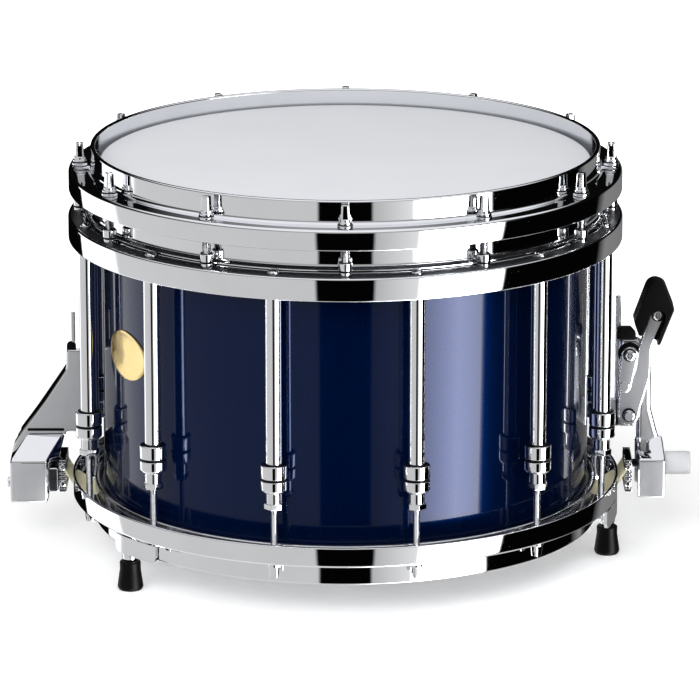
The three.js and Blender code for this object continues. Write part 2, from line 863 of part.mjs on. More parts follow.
// The clamp block in the butt end's box, with the two screws that hold it to the outer wall
function buttClamp() {
  const far = -(hoopRadius + buttBoxOut + buttBoxReach);
  const near = -(hoopRadius + barGap + barThickness + runningFit);
  const back = near - buttClampWidth;
  const half = boxHalfWidth - boxWall - runningFit;
  const rise = buttClampHeight / 2;
  const pieces = [block(back, near, -half, half, buttScrewZ - rise, buttScrewZ + rise)];
  for (const y of [-buttScrewOffset, buttScrewOffset]) {
    pieces.push(sidePin(buttScrewRadius, far - fit - joinOverlap, back + joinOverlap, y, buttScrewZ));
    pieces.push(sidePin(buttScrewHead, far - fit - buttScrewHeadHeight, far - fit, y, buttScrewZ));
  }
  return surface(joined(pieces));
}

const drum = new THREE.Group();

function add(name, geometry, material, azimuth = 0) {
  const mesh = new THREE.Mesh(geometry, material);
  mesh.name = name;
  mesh.rotation.z = azimuth;
  drum.add(mesh);
  return mesh;
}

function addSnareSide(name, geometry, material) {
  const mesh = add(name, geometry, material);
  mesh.rotation.x = HALF_TURN;
  mesh.position.z = -drumDepth;
}

function addRow(name, geometry, material, turn) {
  for (let i = 0; i < rodCount; i += 1) {
    const label = String(i + 1).padStart(2, "0");
    const placed = geometry.clone().translate(0, -rodCircle, 0);
    add(`${name}_${label}`, placed, material, (i + turn) * RODS_TURN);
  }
}

add("shell", shell(), blueLacquer);
add("badge", badge(), goldPlate);
add("batter_head", headFilm(), filmWhite);
add("batter_flesh_hoop", fleshHoop(), chrome);
add("batter_hoop", batterHoop(), chrome);
addSnareSide("snare_head", headFilm(), filmWhite);
addSnareSide("snare_flesh_hoop", fleshHoop(), chrome);
add("snare_hoop", snareHoop(), chrome);
add("frame_ring", frameRing(), chrome);
addRow("tube_lug", tubeLug(), chrome, snareTurnShare);
addRow("batter_rod", batterRod(), chrome, 0);
addRow("snare_rod", snareRod(), chrome, snareTurnShare);
for (let i = 0; i < footCount; i += 1) {
  const azimuth = (footRodIndex + i * footRodStep + snareTurnShare) * RODS_TURN;
  const turn = footTurns[i];
  add(`foot_bracket_${i + 1}`, footBracket(turn), chrome, azimuth);
  const circle = hoopRadius - fit - footStemRadius;
  const foot = onCircle(rubberFoot(), circle, THREE.MathUtils.degToRad(turn));
  add(`rubber_foot_${i + 1}`, foot, blackRubber, azimuth);
}
add("snare_strands", snareStrands(), nylon);
add("strainer_bracket", strainerBracket(), chrome);
add("strainer_carriage", strainerCarriage(), satinAlloy);
add("throw_lever", throwLever(), satinAlloy);
add("lever_grip", leverGrip(), blackRubber);
add("lever_link", leverLink(), satinAlloy);
add("tension_knob", tensionKnob(), paleKnob);
add("butt_bracket", buttBracket(), satinAlloy);
add("butt_clamp", buttClamp(), chrome);

export default drum;
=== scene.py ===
# %% [markdown]
# # A marching snare drum
# The drum is a lacquered shell between two white heads. Polished hoops hold the heads, a frame ring
# floats round the shell, and tubes with long rods pull everything together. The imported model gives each
# piece's place and size. Here each piece is made again with fine, rounded surfaces and a real finish.

# %% The frame
from math import acos, asin, atan2, ceil, copysign, cos, degrees, hypot, pi, radians, sin, sqrt, tan

import bmesh
import bpy
from mathutils import Matrix, Vector


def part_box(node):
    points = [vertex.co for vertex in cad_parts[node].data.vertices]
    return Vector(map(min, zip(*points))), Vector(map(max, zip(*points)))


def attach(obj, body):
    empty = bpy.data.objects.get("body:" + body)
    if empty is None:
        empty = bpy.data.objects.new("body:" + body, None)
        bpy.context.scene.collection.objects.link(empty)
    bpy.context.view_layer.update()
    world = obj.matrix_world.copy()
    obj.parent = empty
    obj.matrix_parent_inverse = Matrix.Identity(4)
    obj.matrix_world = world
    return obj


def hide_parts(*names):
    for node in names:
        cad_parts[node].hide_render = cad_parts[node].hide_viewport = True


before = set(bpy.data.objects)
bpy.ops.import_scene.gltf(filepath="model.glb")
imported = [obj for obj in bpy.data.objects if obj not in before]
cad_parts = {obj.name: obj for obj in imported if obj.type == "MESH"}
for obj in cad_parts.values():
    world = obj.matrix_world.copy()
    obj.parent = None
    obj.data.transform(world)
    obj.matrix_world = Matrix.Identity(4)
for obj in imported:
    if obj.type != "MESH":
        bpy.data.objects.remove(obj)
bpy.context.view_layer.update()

scene = bpy.context.scene

# %% [markdown]
# ## Sizes
# Lengths are in millimetres, because a drum maker thinks in them, and one factor turns them into
# Blender's metres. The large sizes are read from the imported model, so that nothing can drift apart.
# Pieces that rest on each other keep a seat gap of a hair's breadth.

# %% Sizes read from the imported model
MM = 0.001
SEAT = 0.3


def span(node):
    """The lowest and highest corners of a node, in millimetres."""
    low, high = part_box(node)
    return low / MM, high / MM


HOOP_RADIUS = span("batter_hoop")[1].x
RIM_TOP = span("batter_hoop")[1].z
SKIRT_END = span("batter_hoop")[0].z
DEPTH = -span("snare_hoop")[0].z - RIM_TOP
FRAME_RADIUS = span("frame_ring")[1].x
FRAME_TOP = span("frame_ring")[1].z
FRAME_END = span("frame_ring")[0].z
SHELL_RADIUS = span("shell")[1].x
SHELL_TOP = span("shell")[1].z
FILM_RADIUS = span("batter_head")[1].x
FLESH_RADIUS = span("batter_flesh_hoop")[1].x
FLESH_TOP = span("batter_flesh_hoop")[1].z
FLESH_END = span("batter_flesh_hoop")[0].z
LUG_TOP = span("tube_lug_01")[1].z
LUG_END = span("tube_lug_01")[0].z
ROD_CIRCLE = -sum(corner.y for corner in span("batter_rod_01")) / 2
FLOOR_Z = span("rubber_foot_1")[0].z
ROD_COUNT = 12
print("hoop radius", round(HOOP_RADIUS, 2), "depth", round(DEPTH, 2), "rod circle", round(ROD_CIRCLE, 2))

# %% [markdown]
# ## Shapes from outlines
# Nearly every piece of a drum is either turned about an axis or cut from plate. A small class gathers
# both kinds, and lofts the few pieces that are neither. The outlines are corner points with a radius
# each, because real edges are never sharp, and it is the rounded edge that catches the light.

# %% Rounded outlines
RING_SEGMENTS = 256
ROD_SEGMENTS = 32
PIN_SEGMENTS = 24
MITRE_LIMIT = 0.3


def rounded(corners, step=18):
    """An outline through corners (u, v, radius), with each corner turned into an arc."""
    outline = []
    for i, (u, v, radius) in enumerate(corners):
        here = Vector((u, v))
        if not radius:
            outline.append((u, v))
            continue
        back = (Vector(corners[i - 1][:2]) - here).normalized()
        on = (Vector(corners[(i + 1) % len(corners)][:2]) - here).normalized()
        half = back.angle(on) / 2
        centre = here + (back + on).normalized() * (radius / sin(half))
        start = here + back * (radius / tan(half)) - centre
        turn = -copysign(pi - 2 * half, back.cross(on))
        steps = max(2, ceil(abs(degrees(turn)) / step))
        for k in range(steps + 1):
            outline.append(tuple(centre + Matrix.Rotation(turn * k / steps, 2) @ start))
    return outline


def capsule(x0, z0, r0, x1, z1, r1, steps=14):
    """The outline round two circles, such as a link plate's."""
    along = atan2(z1 - z0, x1 - x0)
    lean = acos((r0 - r1) / hypot(x1 - x0, z1 - z0))
    points = []
    for x, z, radius, first in ((x1, z1, r1, -lean), (x0, z0, r0, lean)):
        sweep = 2 * lean if first < 0 else 2 * pi - 2 * lean
        for k in range(steps + 1):
            angle = along + first + sweep * k / steps
            points.append((x + radius * cos(angle), z + radius * sin(angle)))
    return points


def inset(outline, depth):
    """The outline drawn inwards by a small depth."""
    area = sum(a[0] * b[1] - b[0] * a[1] for a, b in zip(outline, outline[1:] + outline[:1]))
    side = copysign(1, area)
    drawn = []
    for i, point in enumerate(outline):
        here = Vector(point)
        back = (here - Vector(outline[i - 1])).normalized()
        on = (Vector(outline[(i + 1) % len(outline)]) - here).normalized()
        first, second = Vector((-back.y, back.x)) * side, Vector((-on.y, on.x)) * side
        limit = max(MITRE_LIMIT, 1 + first.dot(second))
        drawn.append(tuple(here + (first + second) * depth / limit))
    return drawn


# %% The class that gathers a piece's shapes
def towards_front(x, y, z):
    """A place whose heights run towards the front."""
    return Matrix.Translation((x, y, z)) @ Matrix.Rotation(pi / 2, 4, "X")


def towards_right(x, y, z, side=1):
    """A place whose heights run to the right, or to the left with side -1."""
    return Matrix.Translation((x, y, z)) @ Matrix.Rotation(side * pi / 2, 4, "Y")


def on_circle(azimuth, radius=0):
    """A place at an azimuth round the drum, counted from the front towards the right."""
    return Matrix.Rotation(radians(azimuth), 4, "Z") @ Matrix.Translation((0, -radius, 0))


def rod_place(step):
    """A place on the rods' circle; the lugs and lower rods stand half a step further than the upper rods."""
    return on_circle(step * 360 / ROD_COUNT, ROD_CIRCLE)


class Form:
    """Vertices and faces of one piece, in millimetres."""

    def __init__(self):
        self.verts = []
        self.faces = []

    def add(self, verts, faces, place=None):
        first = len(self.verts)
        self.verts += [place @ Vector(v) if place else Vector(v) for v in verts]
        self.faces += [[first + i for i in face] for face in faces]
        return self

    def form(self, other, place=None):
        return self.add(other.verts, other.faces, place)

    def turned(self, profile, segments=ROD_SEGMENTS, place=None):
        """A closed (radius, height) profile turned about Z; a point at radius 0 is a pole."""
        verts, rows = [], []
        for radius, height in profile:
            pole = radius < 1e-6
            rows.append([len(verts)] * segments if pole else [len(verts) + k for k in range(segments)])
            for k in range(1 if pole else segments):
                angle = 2 * pi * k / segments
                verts.append((radius * sin(angle), -radius * cos(angle), height))
        faces = []
        for low, high in zip(rows, rows[1:] + rows[:1]):
            for k in range(segments):
                on = (k + 1) % segments
                face = list(dict.fromkeys([low[k], low[on], high[on], high[k]]))
                if len(face) > 2:
                    faces.append(face)
        return self.add(verts, faces, place)

    def ring(self, radius, low, high, wall=1.0, segments=ROD_SEGMENTS, place=None):
        """A plain ring, such as a washer round a rod."""
        inner = radius - wall
        return self.turned([(inner, low), (radius, low), (radius, high), (inner, high)], segments, place)

    def pin(self, radius, length, segments=ROD_SEGMENTS, place=None):
        """A plain round bar from height 0 upwards."""
        return self.turned([(0, 0), (radius, 0), (radius, length), (0, length)], segments, place)

    def lofted(self, rows, place=None):
        """Rows of points, all with the same count, joined by a skin and capped at both ends."""
        count, end = len(rows[0]), (len(rows) - 1) * len(rows[0])
        faces = [list(range(count)), list(range(end, end + count))]
        for low in range(0, end, count):
            for k in range(count):
                on = (k + 1) % count
                faces.append([low + k, low + on, low + count + on, low + count + k])
        return self.add([point for row in rows for point in row], faces, place)

    def plate(self, outline, front, back, edge=0.5, place=None, front_edge=None):
        """An (x, z) outline between two places along Y, with rounded edges."""
        near = front_edge or edge
        depth = min(near, 0.8 * (back - front))
        steps = 6 if near > 1 else 3
        rows = []
        for angle in [pi / 2 * k / steps for k in range(steps + 1)]:
            y = front + depth * (1 - cos(angle))
            rows.append([(x, y, z) for x, z in inset(outline, near * (1 - sin(angle)))])
        for angle in [pi / 6 * k for k in range(4)]:
            y = back - edge * (1 - sin(angle))
            rows.append([(x, y, z) for x, z in inset(outline, edge * (1 - cos(angle)))])
        return self.lofted(rows, place)

    def block(self, x0, x1, y0, y1, z0, z1, edge=0.5, corner=0):
        """A box with rounded edges, and with rounded corners seen from the front."""
        corners = [(x0, z0, corner), (x1, z0, corner), (x1, z1, corner), (x0, z1, corner)]
        return self.plate(rounded(corners), y0, y1, edge)

    def tube(self, points, radius, sides=10):
        """A round cable along points that lie in one upright plane."""
        across = Vector((0, 1, 0))
        angles = [2 * pi * k / sides for k in range(sides)]
        rows = []
        for i, point in enumerate(points):
            ahead = Vector(points[min(i + 1, len(points) - 1)]) - Vector(points[max(i - 1, 0)])
            up = across.cross(ahead).normalized()
            rows.append([Vector(point) + radius * (cos(a) * up + sin(a) * across) for a in angles])
        return self.lofted(rows)

    def mesh(self, name):
        mesh = bpy.data.meshes.new(name)
        mesh.from_pydata([v * MM for v in self.verts], [], self.faces)
        shape = bmesh.new()
        shape.from_mesh(mesh)
        bmesh.ops.recalc_face_normals(shape, faces=shape.faces)
        shape.to_mesh(mesh)
        shape.free()
        return mesh


# %% Cutting one shape out of another
def carved(form, cutter):
    """The form without what the cutter takes out of it."""
    body, tool = (bpy.data.objects.new("shape", shape.mesh("shape")) for shape in (form, cutter))
    for obj in (body, tool):
        scene.collection.objects.link(obj)
    cut = body.modifiers.new("cut", "BOOLEAN")
    cut.object = tool
    cut.solver = "EXACT"
    made = bpy.data.meshes.new_from_object(body.evaluated_get(bpy.context.evaluated_depsgraph_get()))
    rest = Form().add([v.co / MM for v in made.vertices], [list(p.vertices) for p in made.polygons])
    for obj in (body, tool):
        bpy.data.objects.remove(obj)
    bpy.data.meshes.remove(made)
    return rest


SHARP_ANGLE = radians(32)
FLAT_FACE = 0.999
FACE_AREA = 0.4 * MM * MM


def piece(name, form, finish, body, slot, *nodes, faces=None):
    """A finished object that rides on a body and stands for nodes. Its large flat faces may have a finish
    of their own."""
    mesh = form.mesh(name)
    mesh.shade_smooth()
    mesh.set_sharp_from_angle(angle=SHARP_ANGLE)
    mesh.materials.append(finish)
    if faces:
        mesh.materials.append(faces)
        for side in mesh.polygons:
            facing = max(abs(side.normal.x), abs(side.normal.y))
            side.material_index = facing > FLAT_FACE and side.area > FACE_AREA
    obj = bpy.data.objects.new(name, mesh)
    scene.collection.objects.link(obj)
    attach(obj, body)
    if nodes:
        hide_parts(*nodes)
    print(name, "has", len(mesh.polygons), "faces")


# %% [markdown]
# ## Finishes
# Shader maths reads best as ordinary sums, so a small class wraps a node's output and turns Python's
# operators into Math nodes. A second class makes any other node from its type, settings and inputs.

# %% The shader classes
def connect(tree, value, socket):
    if isinstance(value, Wire):
        tree.links.new(value.socket, socket)
    else:
        socket.default_value = value


class Wire:
    """A node's output that takes part in sums."""

    def __init__(self, tree, socket):
        self.tree = tree
        self.socket = socket

    def math(self, operation, *values):
        node = self.tree.nodes.new("ShaderNodeMath")
        node.operation = operation
        for value, socket in zip(values, node.inputs):
            connect(self.tree, value, socket)
        return Wire(self.tree, node.outputs[0])

    def __add__(self, other):
        return self.math("ADD", self, other)

    def __radd__(self, other):
        return self.math("ADD", other, self)

    def __sub__(self, other):
        return self.math("SUBTRACT", self, other)

    def __rsub__(self, other):
        return self.math("SUBTRACT", other, self)

    def __mul__(self, other):
        return self.math("MULTIPLY", self, other)

    def __rmul__(self, other):
        return self.math("MULTIPLY", other, self)


class Paint:
    """The node tree of one material or world."""

    def __init__(self, owner):
        owner.use_nodes = True
        self.owner = owner
        self.tree = owner.node_tree
        self.tree.nodes.clear()

    def node(self, kind, settings=None, inputs=None, out=0):
        node = self.tree.nodes.new(kind)
        for key, value in (settings or {}).items():
            if key == "stops":
                self.set_stops(node.color_ramp, value)
            else:
                setattr(node, key, value)
        for key, value in (inputs or {}).items():
            named = [socket for socket in node.inputs if key in (socket.identifier, socket.name)]
            connect(self.tree, value, named[0] if named else node.inputs[key])
        return Wire(self.tree, node.outputs[out]) if node.outputs else None

    def set_stops(self, ramp, stops):
        while len(ramp.elements) < len(stops):
            ramp.elements.new(1.0)
        for element, (position, colour) in zip(ramp.elements, stops):
            element.position = position
            element.color = colour

    def place(self):
        return self.node("ShaderNodeTexCoord", out="Object")

    def stretched(self, scale):
        return self.node("ShaderNodeVectorMath", {"operation": "MULTIPLY"}, {0: self.place(), 1: scale})

    def noise(self, scale, detail=2.0, vector=None):
        inputs = {"Scale": scale, "Detail": detail, "Vector": vector or self.place()}
        return self.node("ShaderNodeTexNoise", None, inputs, "Fac")

    def share(self, value, low, high):
        """How far a value has come from low to high, as a number from 0 to 1."""
        inputs = {"Value": value, "From Min": low, "From Max": high}
        return self.node("ShaderNodeMapRange", {"clamp": True}, inputs)

    def mix(self, factor, a, b):
        values = {"Factor_Float": factor, "A_Color": a, "B_Color": b}
        return self.node("ShaderNodeMix", {"data_type": "RGBA"}, values, 2)

    def bump(self, height, strength, distance):
        values = {"Height": height, "Strength": strength, "Distance": distance}
        return self.node("ShaderNodeBump", None, values)

    def surface(self, **values):
        """The shader itself, from the names of its sockets written with underscores."""
        inputs = {key.replace("_", " "): value for key, value in values.items()}
        shader = self.node("ShaderNodeBsdfPrincipled", None, inputs)
        self.node("ShaderNodeOutputMaterial", None, {"Surface": shader})
        return self.owner


def tint(*screen):
    """A colour as it shows on screen, 0 to 255, turned into the linear values that nodes take."""
    shares = [value / 255 for value in screen]
    return (*[s / 12.92 if s <= 0.04045 else ((s + 0.055) / 1.055) ** 2.4 for s in shares], 1.0)


def grey(level):
    """A grey from 0, black, to 1, white, in the linear values that nodes take."""
    return (level, level, level, 1.0)


# %% [markdown]
# ### Chrome
# Chrome plate is almost a mirror. What tells it from a computed mirror is the faint haze of handling,
# so the roughness wanders a little over centimetres and the surface has the slightest waviness.

# %% Chrome plate
def chrome_plate(name="chrome_plate", light=tint(244, 245, 247), dark=tint(232, 233, 236), haze=0.025):
    paint = Paint(bpy.data.materials.new(name))
    smudge = paint.noise(28.0, 4.0)
    grain = paint.noise(900.0, 2.0)
    return paint.surface(
        Base_Color=paint.mix(smudge, dark, light),
        Metallic=1.0,
        Roughness=0.012 + smudge * haze + grain * 0.006,
        Normal=paint.bump(paint.noise(40.0, 1.0), 0.01, 0.00003),
    )


CHROME = chrome_plate()
DULL_CHROME = chrome_plate("rolled_alloy", tint(214, 215, 218), tint(190, 191, 195), 0.35)

# %% [markdown]
# ### Satin plate as a painted reflection
# The throw-off's plates are pressed from sheet and polished. Their flat faces mirror one pale wall, so that
# reflection is painted as a pale grey satin with a fine grain that spreads reflections. The noise is
# squeezed along the height, which draws the grain out into strokes. The badge's gold plate is brushed, and
# one function makes both.

# %% Satin plate as a painted reflection
def brushed(name, dark, light, grain, clouds, strokes_share, roughness, spread, strength, depth, metal):
    """Brushed plate. The grain is the noise's scale along X, Y and Z."""
    paint = Paint(bpy.data.materials.new(name))
    strokes = paint.noise(1.0, 3.0, paint.stretched(grain))
    cloud = paint.noise(*clouds)
    return paint.surface(
        Base_Color=paint.mix(cloud * (1 - strokes_share) + strokes * strokes_share, dark, light),
        Metallic=metal,
        Roughness=roughness + strokes * spread,
        Normal=paint.bump(strokes, strength, depth),
    )


# Pale grey for the flat faces of polished plate: a painted reflection of one pale wall.
SATIN_REFLECTION = brushed(
    "satin_painted_reflection", tint(164, 165, 168), tint(182, 183, 186), grain=(900.0, 900.0, 60.0), clouds=(45.0, 3.0),
    strokes_share=0.3, roughness=0.30, spread=0.12, strength=0.08, depth=0.00005, metal=0.3,
)

# %% [markdown]
# ### Blue lacquer
# The shell has a dark, half-metallic base coat under clear lacquer. The flakes are cells a fraction of a
# millimetre wide, each a little lighter or darker. Only the clear coat mirrors sharply. The base has no
# specular level of its own, because a second set of reflections would turn the deep blue grey.

# %% Blue lacquer
def blue_lacquer():
    paint = Paint(bpy.data.materials.new("blue_lacquer"))
    flake = paint.node("ShaderNodeTexVoronoi", None, {"Scale": 2600.0, "Vector": paint.place()}, "Color")
    sparkle = paint.node("ShaderNodeSeparateColor", None, {"Color": flake}, "Red")
    cloud = paint.noise(9.0, 2.0)
    return paint.surface(
        Base_Color=paint.mix(sparkle * 0.55 + cloud * 0.45, tint(0, 11, 42), tint(1, 22, 61)),
        Metallic=0.44,
        Specular_IOR_Level=0.0,
        Roughness=0.16 + sparkle * 0.08,
        Coat_Weight=1.0,
        Coat_Roughness=0.015,
        Coat_IOR=1.28,
        Normal=paint.bump(sparkle, 0.05, 0.00003),
    )


LACQUER = blue_lacquer()

# %% [markdown]
# ### Head film, rubber, gut, gold and plastic
# The batter film has a sprayed coating, which shows as a fine tooth. Rubber is nearly black and matt, gut
# is a cream cable, the badge is bare gold plate and the knob is white plastic. Most of them are a cloudy
# colour with a fine tooth, so they share one function and differ in its numbers.

# %% The other finishes
def clouded(name, dark, light, clouds, roughness, spread, tooth, strength, depth=0.0001, **fixed):
    """A cloudy finish with a fine tooth. What is the same all over goes straight to the shader."""
    paint = Paint(bpy.data.materials.new(name))
    cloud = paint.noise(clouds, 3.0)
    return paint.surface(
        Base_Color=paint.mix(cloud, dark, light),
        Roughness=roughness + cloud * spread,
        Normal=paint.bump(paint.noise(tooth, 2.0), strength, depth),
        **fixed,
    )


def gut():
    paint = Paint(bpy.data.materials.new("cream_gut"))
    strokes = paint.noise(1.0, 2.0, paint.stretched((120.0, 900.0, 900.0)))
    return paint.surface(
        Base_Color=paint.mix(strokes, tint(196, 190, 152), tint(228, 224, 196)),
        Roughness=0.42 + strokes * 0.1,
        Normal=paint.bump(strokes, 0.2, 0.0001),
    )


FILM = {"clouds": 14.0, "roughness": 0.5, "spread": 0.1, "tooth": 1500.0, "depth": 0.00008}
COATED_FILM = clouded("coated_film", tint(222, 224, 229), tint(227, 229, 233), strength=0.12, **FILM)
SNARE_FILM = clouded("snare_film", tint(202, 204, 209), tint(214, 216, 220), strength=0.03, **FILM)
# Black rubber for real rubber parts, also used for painted shade: black rings, discs, a block and a strip.
RUBBER_AND_SHADE = clouded("black_rubber", tint(4, 4, 5), tint(12, 12, 13), clouds=60.0, roughness=0.32,
                 spread=0.16, tooth=1100.0, strength=0.15, Specular_IOR_Level=0.08)
GUT = gut()
GOLD = brushed(
    "gold_plate", tint(214, 182, 112), tint(238, 216, 158), grain=(60.0, 60.0, 1200.0), clouds=(70.0, 2.0),
    strokes_share=0.5, roughness=0.16, spread=0.1, strength=0.06, depth=0.00004, metal=1.0,
)
KNOB_WHITE = clouded("white_plastic", tint(204, 205, 208), tint(220, 221, 223), clouds=90.0, roughness=0.28,
                     spread=0.12, tooth=700.0, strength=0.05, Specular_IOR_Level=0.15)
# Dark steel for real dark parts, also used for painted shade: the hoop lining and the flange's dark band.
DARK_STEEL_AND_SHADE = clouded("dark_steel_and_shade", tint(52, 53, 57), tint(84, 85, 90), clouds=120.0, roughness=0.3,
                     spread=0.15, tooth=800.0, strength=0.08, Metallic=0.9)
print("finishes:", len(bpy.data.materials))

# %% [markdown]
# ## Shell, heads and flesh hoops
# The shell is a ply tube with a slanted edge that the film bears on. The film is one skin: flat, a tight
# bend over the edge, and a short upright skirt that the flesh hoop grips.

# %% Shell, heads and flesh hoops
SHELL_WALL = 5.0
EDGE_ROUND = 2.5
FILM_THICKNESS = 0.5
FILM_SKIRT = 15.0


def snare_side(profile):
    """The same profile mirrored to the drum's lower side."""
    return [(point[0], -DEPTH - point[1], *point[2:]) for point in profile]


shell_top = [
    (SHELL_RADIUS - SHELL_WALL, SHELL_TOP - EDGE_ROUND, 0.4),
    (SHELL_RADIUS - EDGE_ROUND, SHELL_TOP, 0.8),
    (SHELL_RADIUS, SHELL_TOP - EDGE_ROUND, 1.5),
]
shell = rounded(shell_top + snare_side(shell_top)[::-1])
piece("drum_shell", Form().turned(shell, RING_SEGMENTS), LACQUER, "drum", "blue_lacquer", "shell")

film_inner = FILM_RADIUS - FILM_THICKNESS
film_outline = [
    (0, 0, 0), (FILM_RADIUS, 0, 2.2), (FILM_RADIUS, -FILM_SKIRT, 0.1), (film_inner, -FILM_SKIRT, 0.1),
    (film_inner, -FILM_THICKNESS, 1.8), (0, -FILM_THICKNESS, 0),
]
batter_film = Form().turned(rounded(film_outline), RING_SEGMENTS)
piece("batter_film", batter_film, COATED_FILM, "drum", "white_film", "batter_head")
snare_film = Form().turned(rounded(snare_side(film_outline)), RING_SEGMENTS)
piece("snare_film", snare_film, SNARE_FILM, "drum", "white_film", "snare_head")

FLESH_WIDTH = 5.6
flesh_outline = [
    (FLESH_RADIUS - FLESH_WIDTH, FLESH_END, 0.6), (FLESH_RADIUS - FLESH_WIDTH, FLESH_TOP, 0.6),
    (FLESH_RADIUS, FLESH_TOP, 0.8), (FLESH_RADIUS, FLESH_END, 1.8),
]
for side, outline in (("batter", flesh_outline), ("snare", snare_side(flesh_outline))):
    form = Form().turned(rounded(outline), RING_SEGMENTS)
    piece(f"{side}_head_hoop", form, DULL_CHROME, "drum", "alloy_hoop", f"{side}_flesh_hoop")

# %% [markdown]
# ## Counterhoops
# Each counterhoop is one casting: a tall rim, a flange for the rods' washers and an outer skirt. A dark
# lining in the batter hoop's hollow under the flange is painted shade, which darkens what the flange
# mirrors. The snare hoop is the same casting turned over, with two windows that the strands run through.

# %% Counterhoops
RIM_WALL = 3.5
FLANGE_TOP = -5.7
FLANGE_THICKNESS = 2.0
HOOP_WALL = 2.5
RIM_OUTER = FLESH_RADIUS + SEAT
RIM_INNER = RIM_OUTER - RIM_WALL
GATE_WIDTH = 52.0
GATE_TOP_BAND = 4.2
GATE_SILL = 3.5
CUT_OVERRUN = 3.0

hoop_outline = [
    (RIM_INNER, FLANGE_TOP - FLANGE_THICKNESS, 0.4), (RIM_INNER, RIM_TOP, 1.3), (RIM_OUTER, RIM_TOP, 1.3),
    (RIM_OUTER, FLANGE_TOP, 3.2), (HOOP_RADIUS, FLANGE_TOP, 2.2), (HOOP_RADIUS, SKIRT_END, 0.9),
    (HOOP_RADIUS - HOOP_WALL, SKIRT_END, 0.9), (HOOP_RADIUS - HOOP_WALL, FLANGE_TOP - FLANGE_THICKNESS, 1.2),
]
batter_hoop = Form().turned(rounded(hoop_outline, 12), RING_SEGMENTS)
piece("batter_counterhoop", batter_hoop, CHROME, "drum", "chrome", "batter_hoop")

# A thin dark skin inside the batter hoop's hollow: painted shade, so that the flange mirrors dark.
LINING = 0.3
LINING_CORNER = 1.2
LINING_BEND = 1.4
cavity_radius = HOOP_RADIUS - HOOP_WALL
cavity_top = FLANGE_TOP - FLANGE_THICKNESS
lining_low = SKIRT_END + LINING_CORNER
lining_end = RIM_INNER + 0.6
shade_lining = Form().turned([
    (cavity_radius, lining_low), (cavity_radius, cavity_top - LINING_CORNER),
    (cavity_radius - LINING_CORNER, cavity_top), (lining_end, cavity_top),
    (lining_end, cavity_top - LINING), (cavity_radius - LINING_BEND, cavity_top - LINING),
    (cavity_radius - LINING, cavity_top - LINING_BEND), (cavity_radius - LINING, lining_low),
], RING_SEGMENTS)
piece("painted_shade_lining", shade_lining, DARK_STEEL_AND_SHADE, "drum", "chrome")

hoop_top = -DEPTH - SKIRT_END
gates = Form().block(
    -HOOP_RADIUS - CUT_OVERRUN, HOOP_RADIUS + CUT_OVERRUN, -GATE_WIDTH / 2, GATE_WIDTH / 2,
    -DEPTH - RIM_TOP + GATE_SILL, hoop_top - GATE_TOP_BAND, 1.5,
)
snare_hoop = carved(Form().turned(rounded(snare_side(hoop_outline), 12), RING_SEGMENTS), gates)
piece("snare_counterhoop", snare_hoop, CHROME, "drum", "chrome", "snare_hoop")

# %% [markdown]
# ## Frame ring
# The frame ring floats round the shell and carries everything. Its upright wall, step, flange and outer
# band come from one casting. A bush in two parts for each batter rod stands on the flange. Black rings
# between the parts, round the rod and round the foot of the wall are painted shade lines, and a dark band
# on the flange between two bright edges is a painted dark reflection.

# %% Frame ring
FRAME_GAP = 3.5
FRAME_UPRIGHT = 3.5
FRAME_INNER = SHELL_RADIUS + FRAME_GAP
FRAME_OUTER = FRAME_INNER + FRAME_UPRIGHT
FRAME_FLANGE_TOP = FRAME_TOP - 19.0
FRAME_FLANGE_LOW = FRAME_FLANGE_TOP - 2.5
STEP_RADIUS = 188.2
STEP_TOP = FRAME_FLANGE_TOP + 3.0
BUSH_RADIUS = 5.0
BUSH_NECK = 3.6
BUSH_TOP = FRAME_FLANGE_TOP + 9.6
GAP_LOW = FRAME_FLANGE_TOP + 2.9
GAP_HIGH = GAP_LOW + 1.1
SHADE_LINE_LOW = FRAME_FLANGE_TOP + 0.9
BAND_INSET, BAND_WIDTH = 2.2, 8.2
ROD_RADIUS = 3.1

frame_outline = [
    (FRAME_INNER, FRAME_FLANGE_LOW, 0.6), (FRAME_INNER, FRAME_TOP, 1.0), (FRAME_OUTER, FRAME_TOP, 1.2),
    (FRAME_OUTER, STEP_TOP, 3.4), (STEP_RADIUS, STEP_TOP, 0.5), (STEP_RADIUS, FRAME_FLANGE_TOP, 2.4),
    (FRAME_RADIUS, FRAME_FLANGE_TOP, 1.5), (FRAME_RADIUS, FRAME_END, 0.9),
    (FRAME_RADIUS - HOOP_WALL, FRAME_END, 0.9), (FRAME_RADIUS - HOOP_WALL, FRAME_FLANGE_LOW, 1.2),
]
bush = rounded([
    (0, FRAME_FLANGE_TOP - 1.0, 0), (BUSH_RADIUS - 0.5, FRAME_FLANGE_TOP - 1.0, 0.1),
    (BUSH_RADIUS - 0.5, GAP_LOW, 0.4), (BUSH_NECK, GAP_LOW, 0.2), (BUSH_NECK, GAP_HIGH, 0.2),
    (BUSH_RADIUS, GAP_HIGH, 0.4), (BUSH_RADIUS, BUSH_TOP, 0.7), (0, BUSH_TOP, 0),
])
frame_form = Form().turned(rounded(frame_outline, 12), RING_SEGMENTS)
bush_shade_rings = Form()
for i in range(ROD_COUNT):
    frame_form.turned(bush, ROD_SEGMENTS, rod_place(i))
    # Black rings between the bush's two parts and round the rod: painted shade lines.
    bush_shade_rings.ring(BUSH_RADIUS - 0.3, GAP_LOW, GAP_HIGH, 1.5, place=rod_place(i))
    bush_shade_rings.ring(ROD_RADIUS + 1.1, BUSH_TOP - 0.3, BUSH_TOP + 0.5, place=rod_place(i))
piece("floating_frame", frame_form, CHROME, "drum", "chrome", "frame_ring")
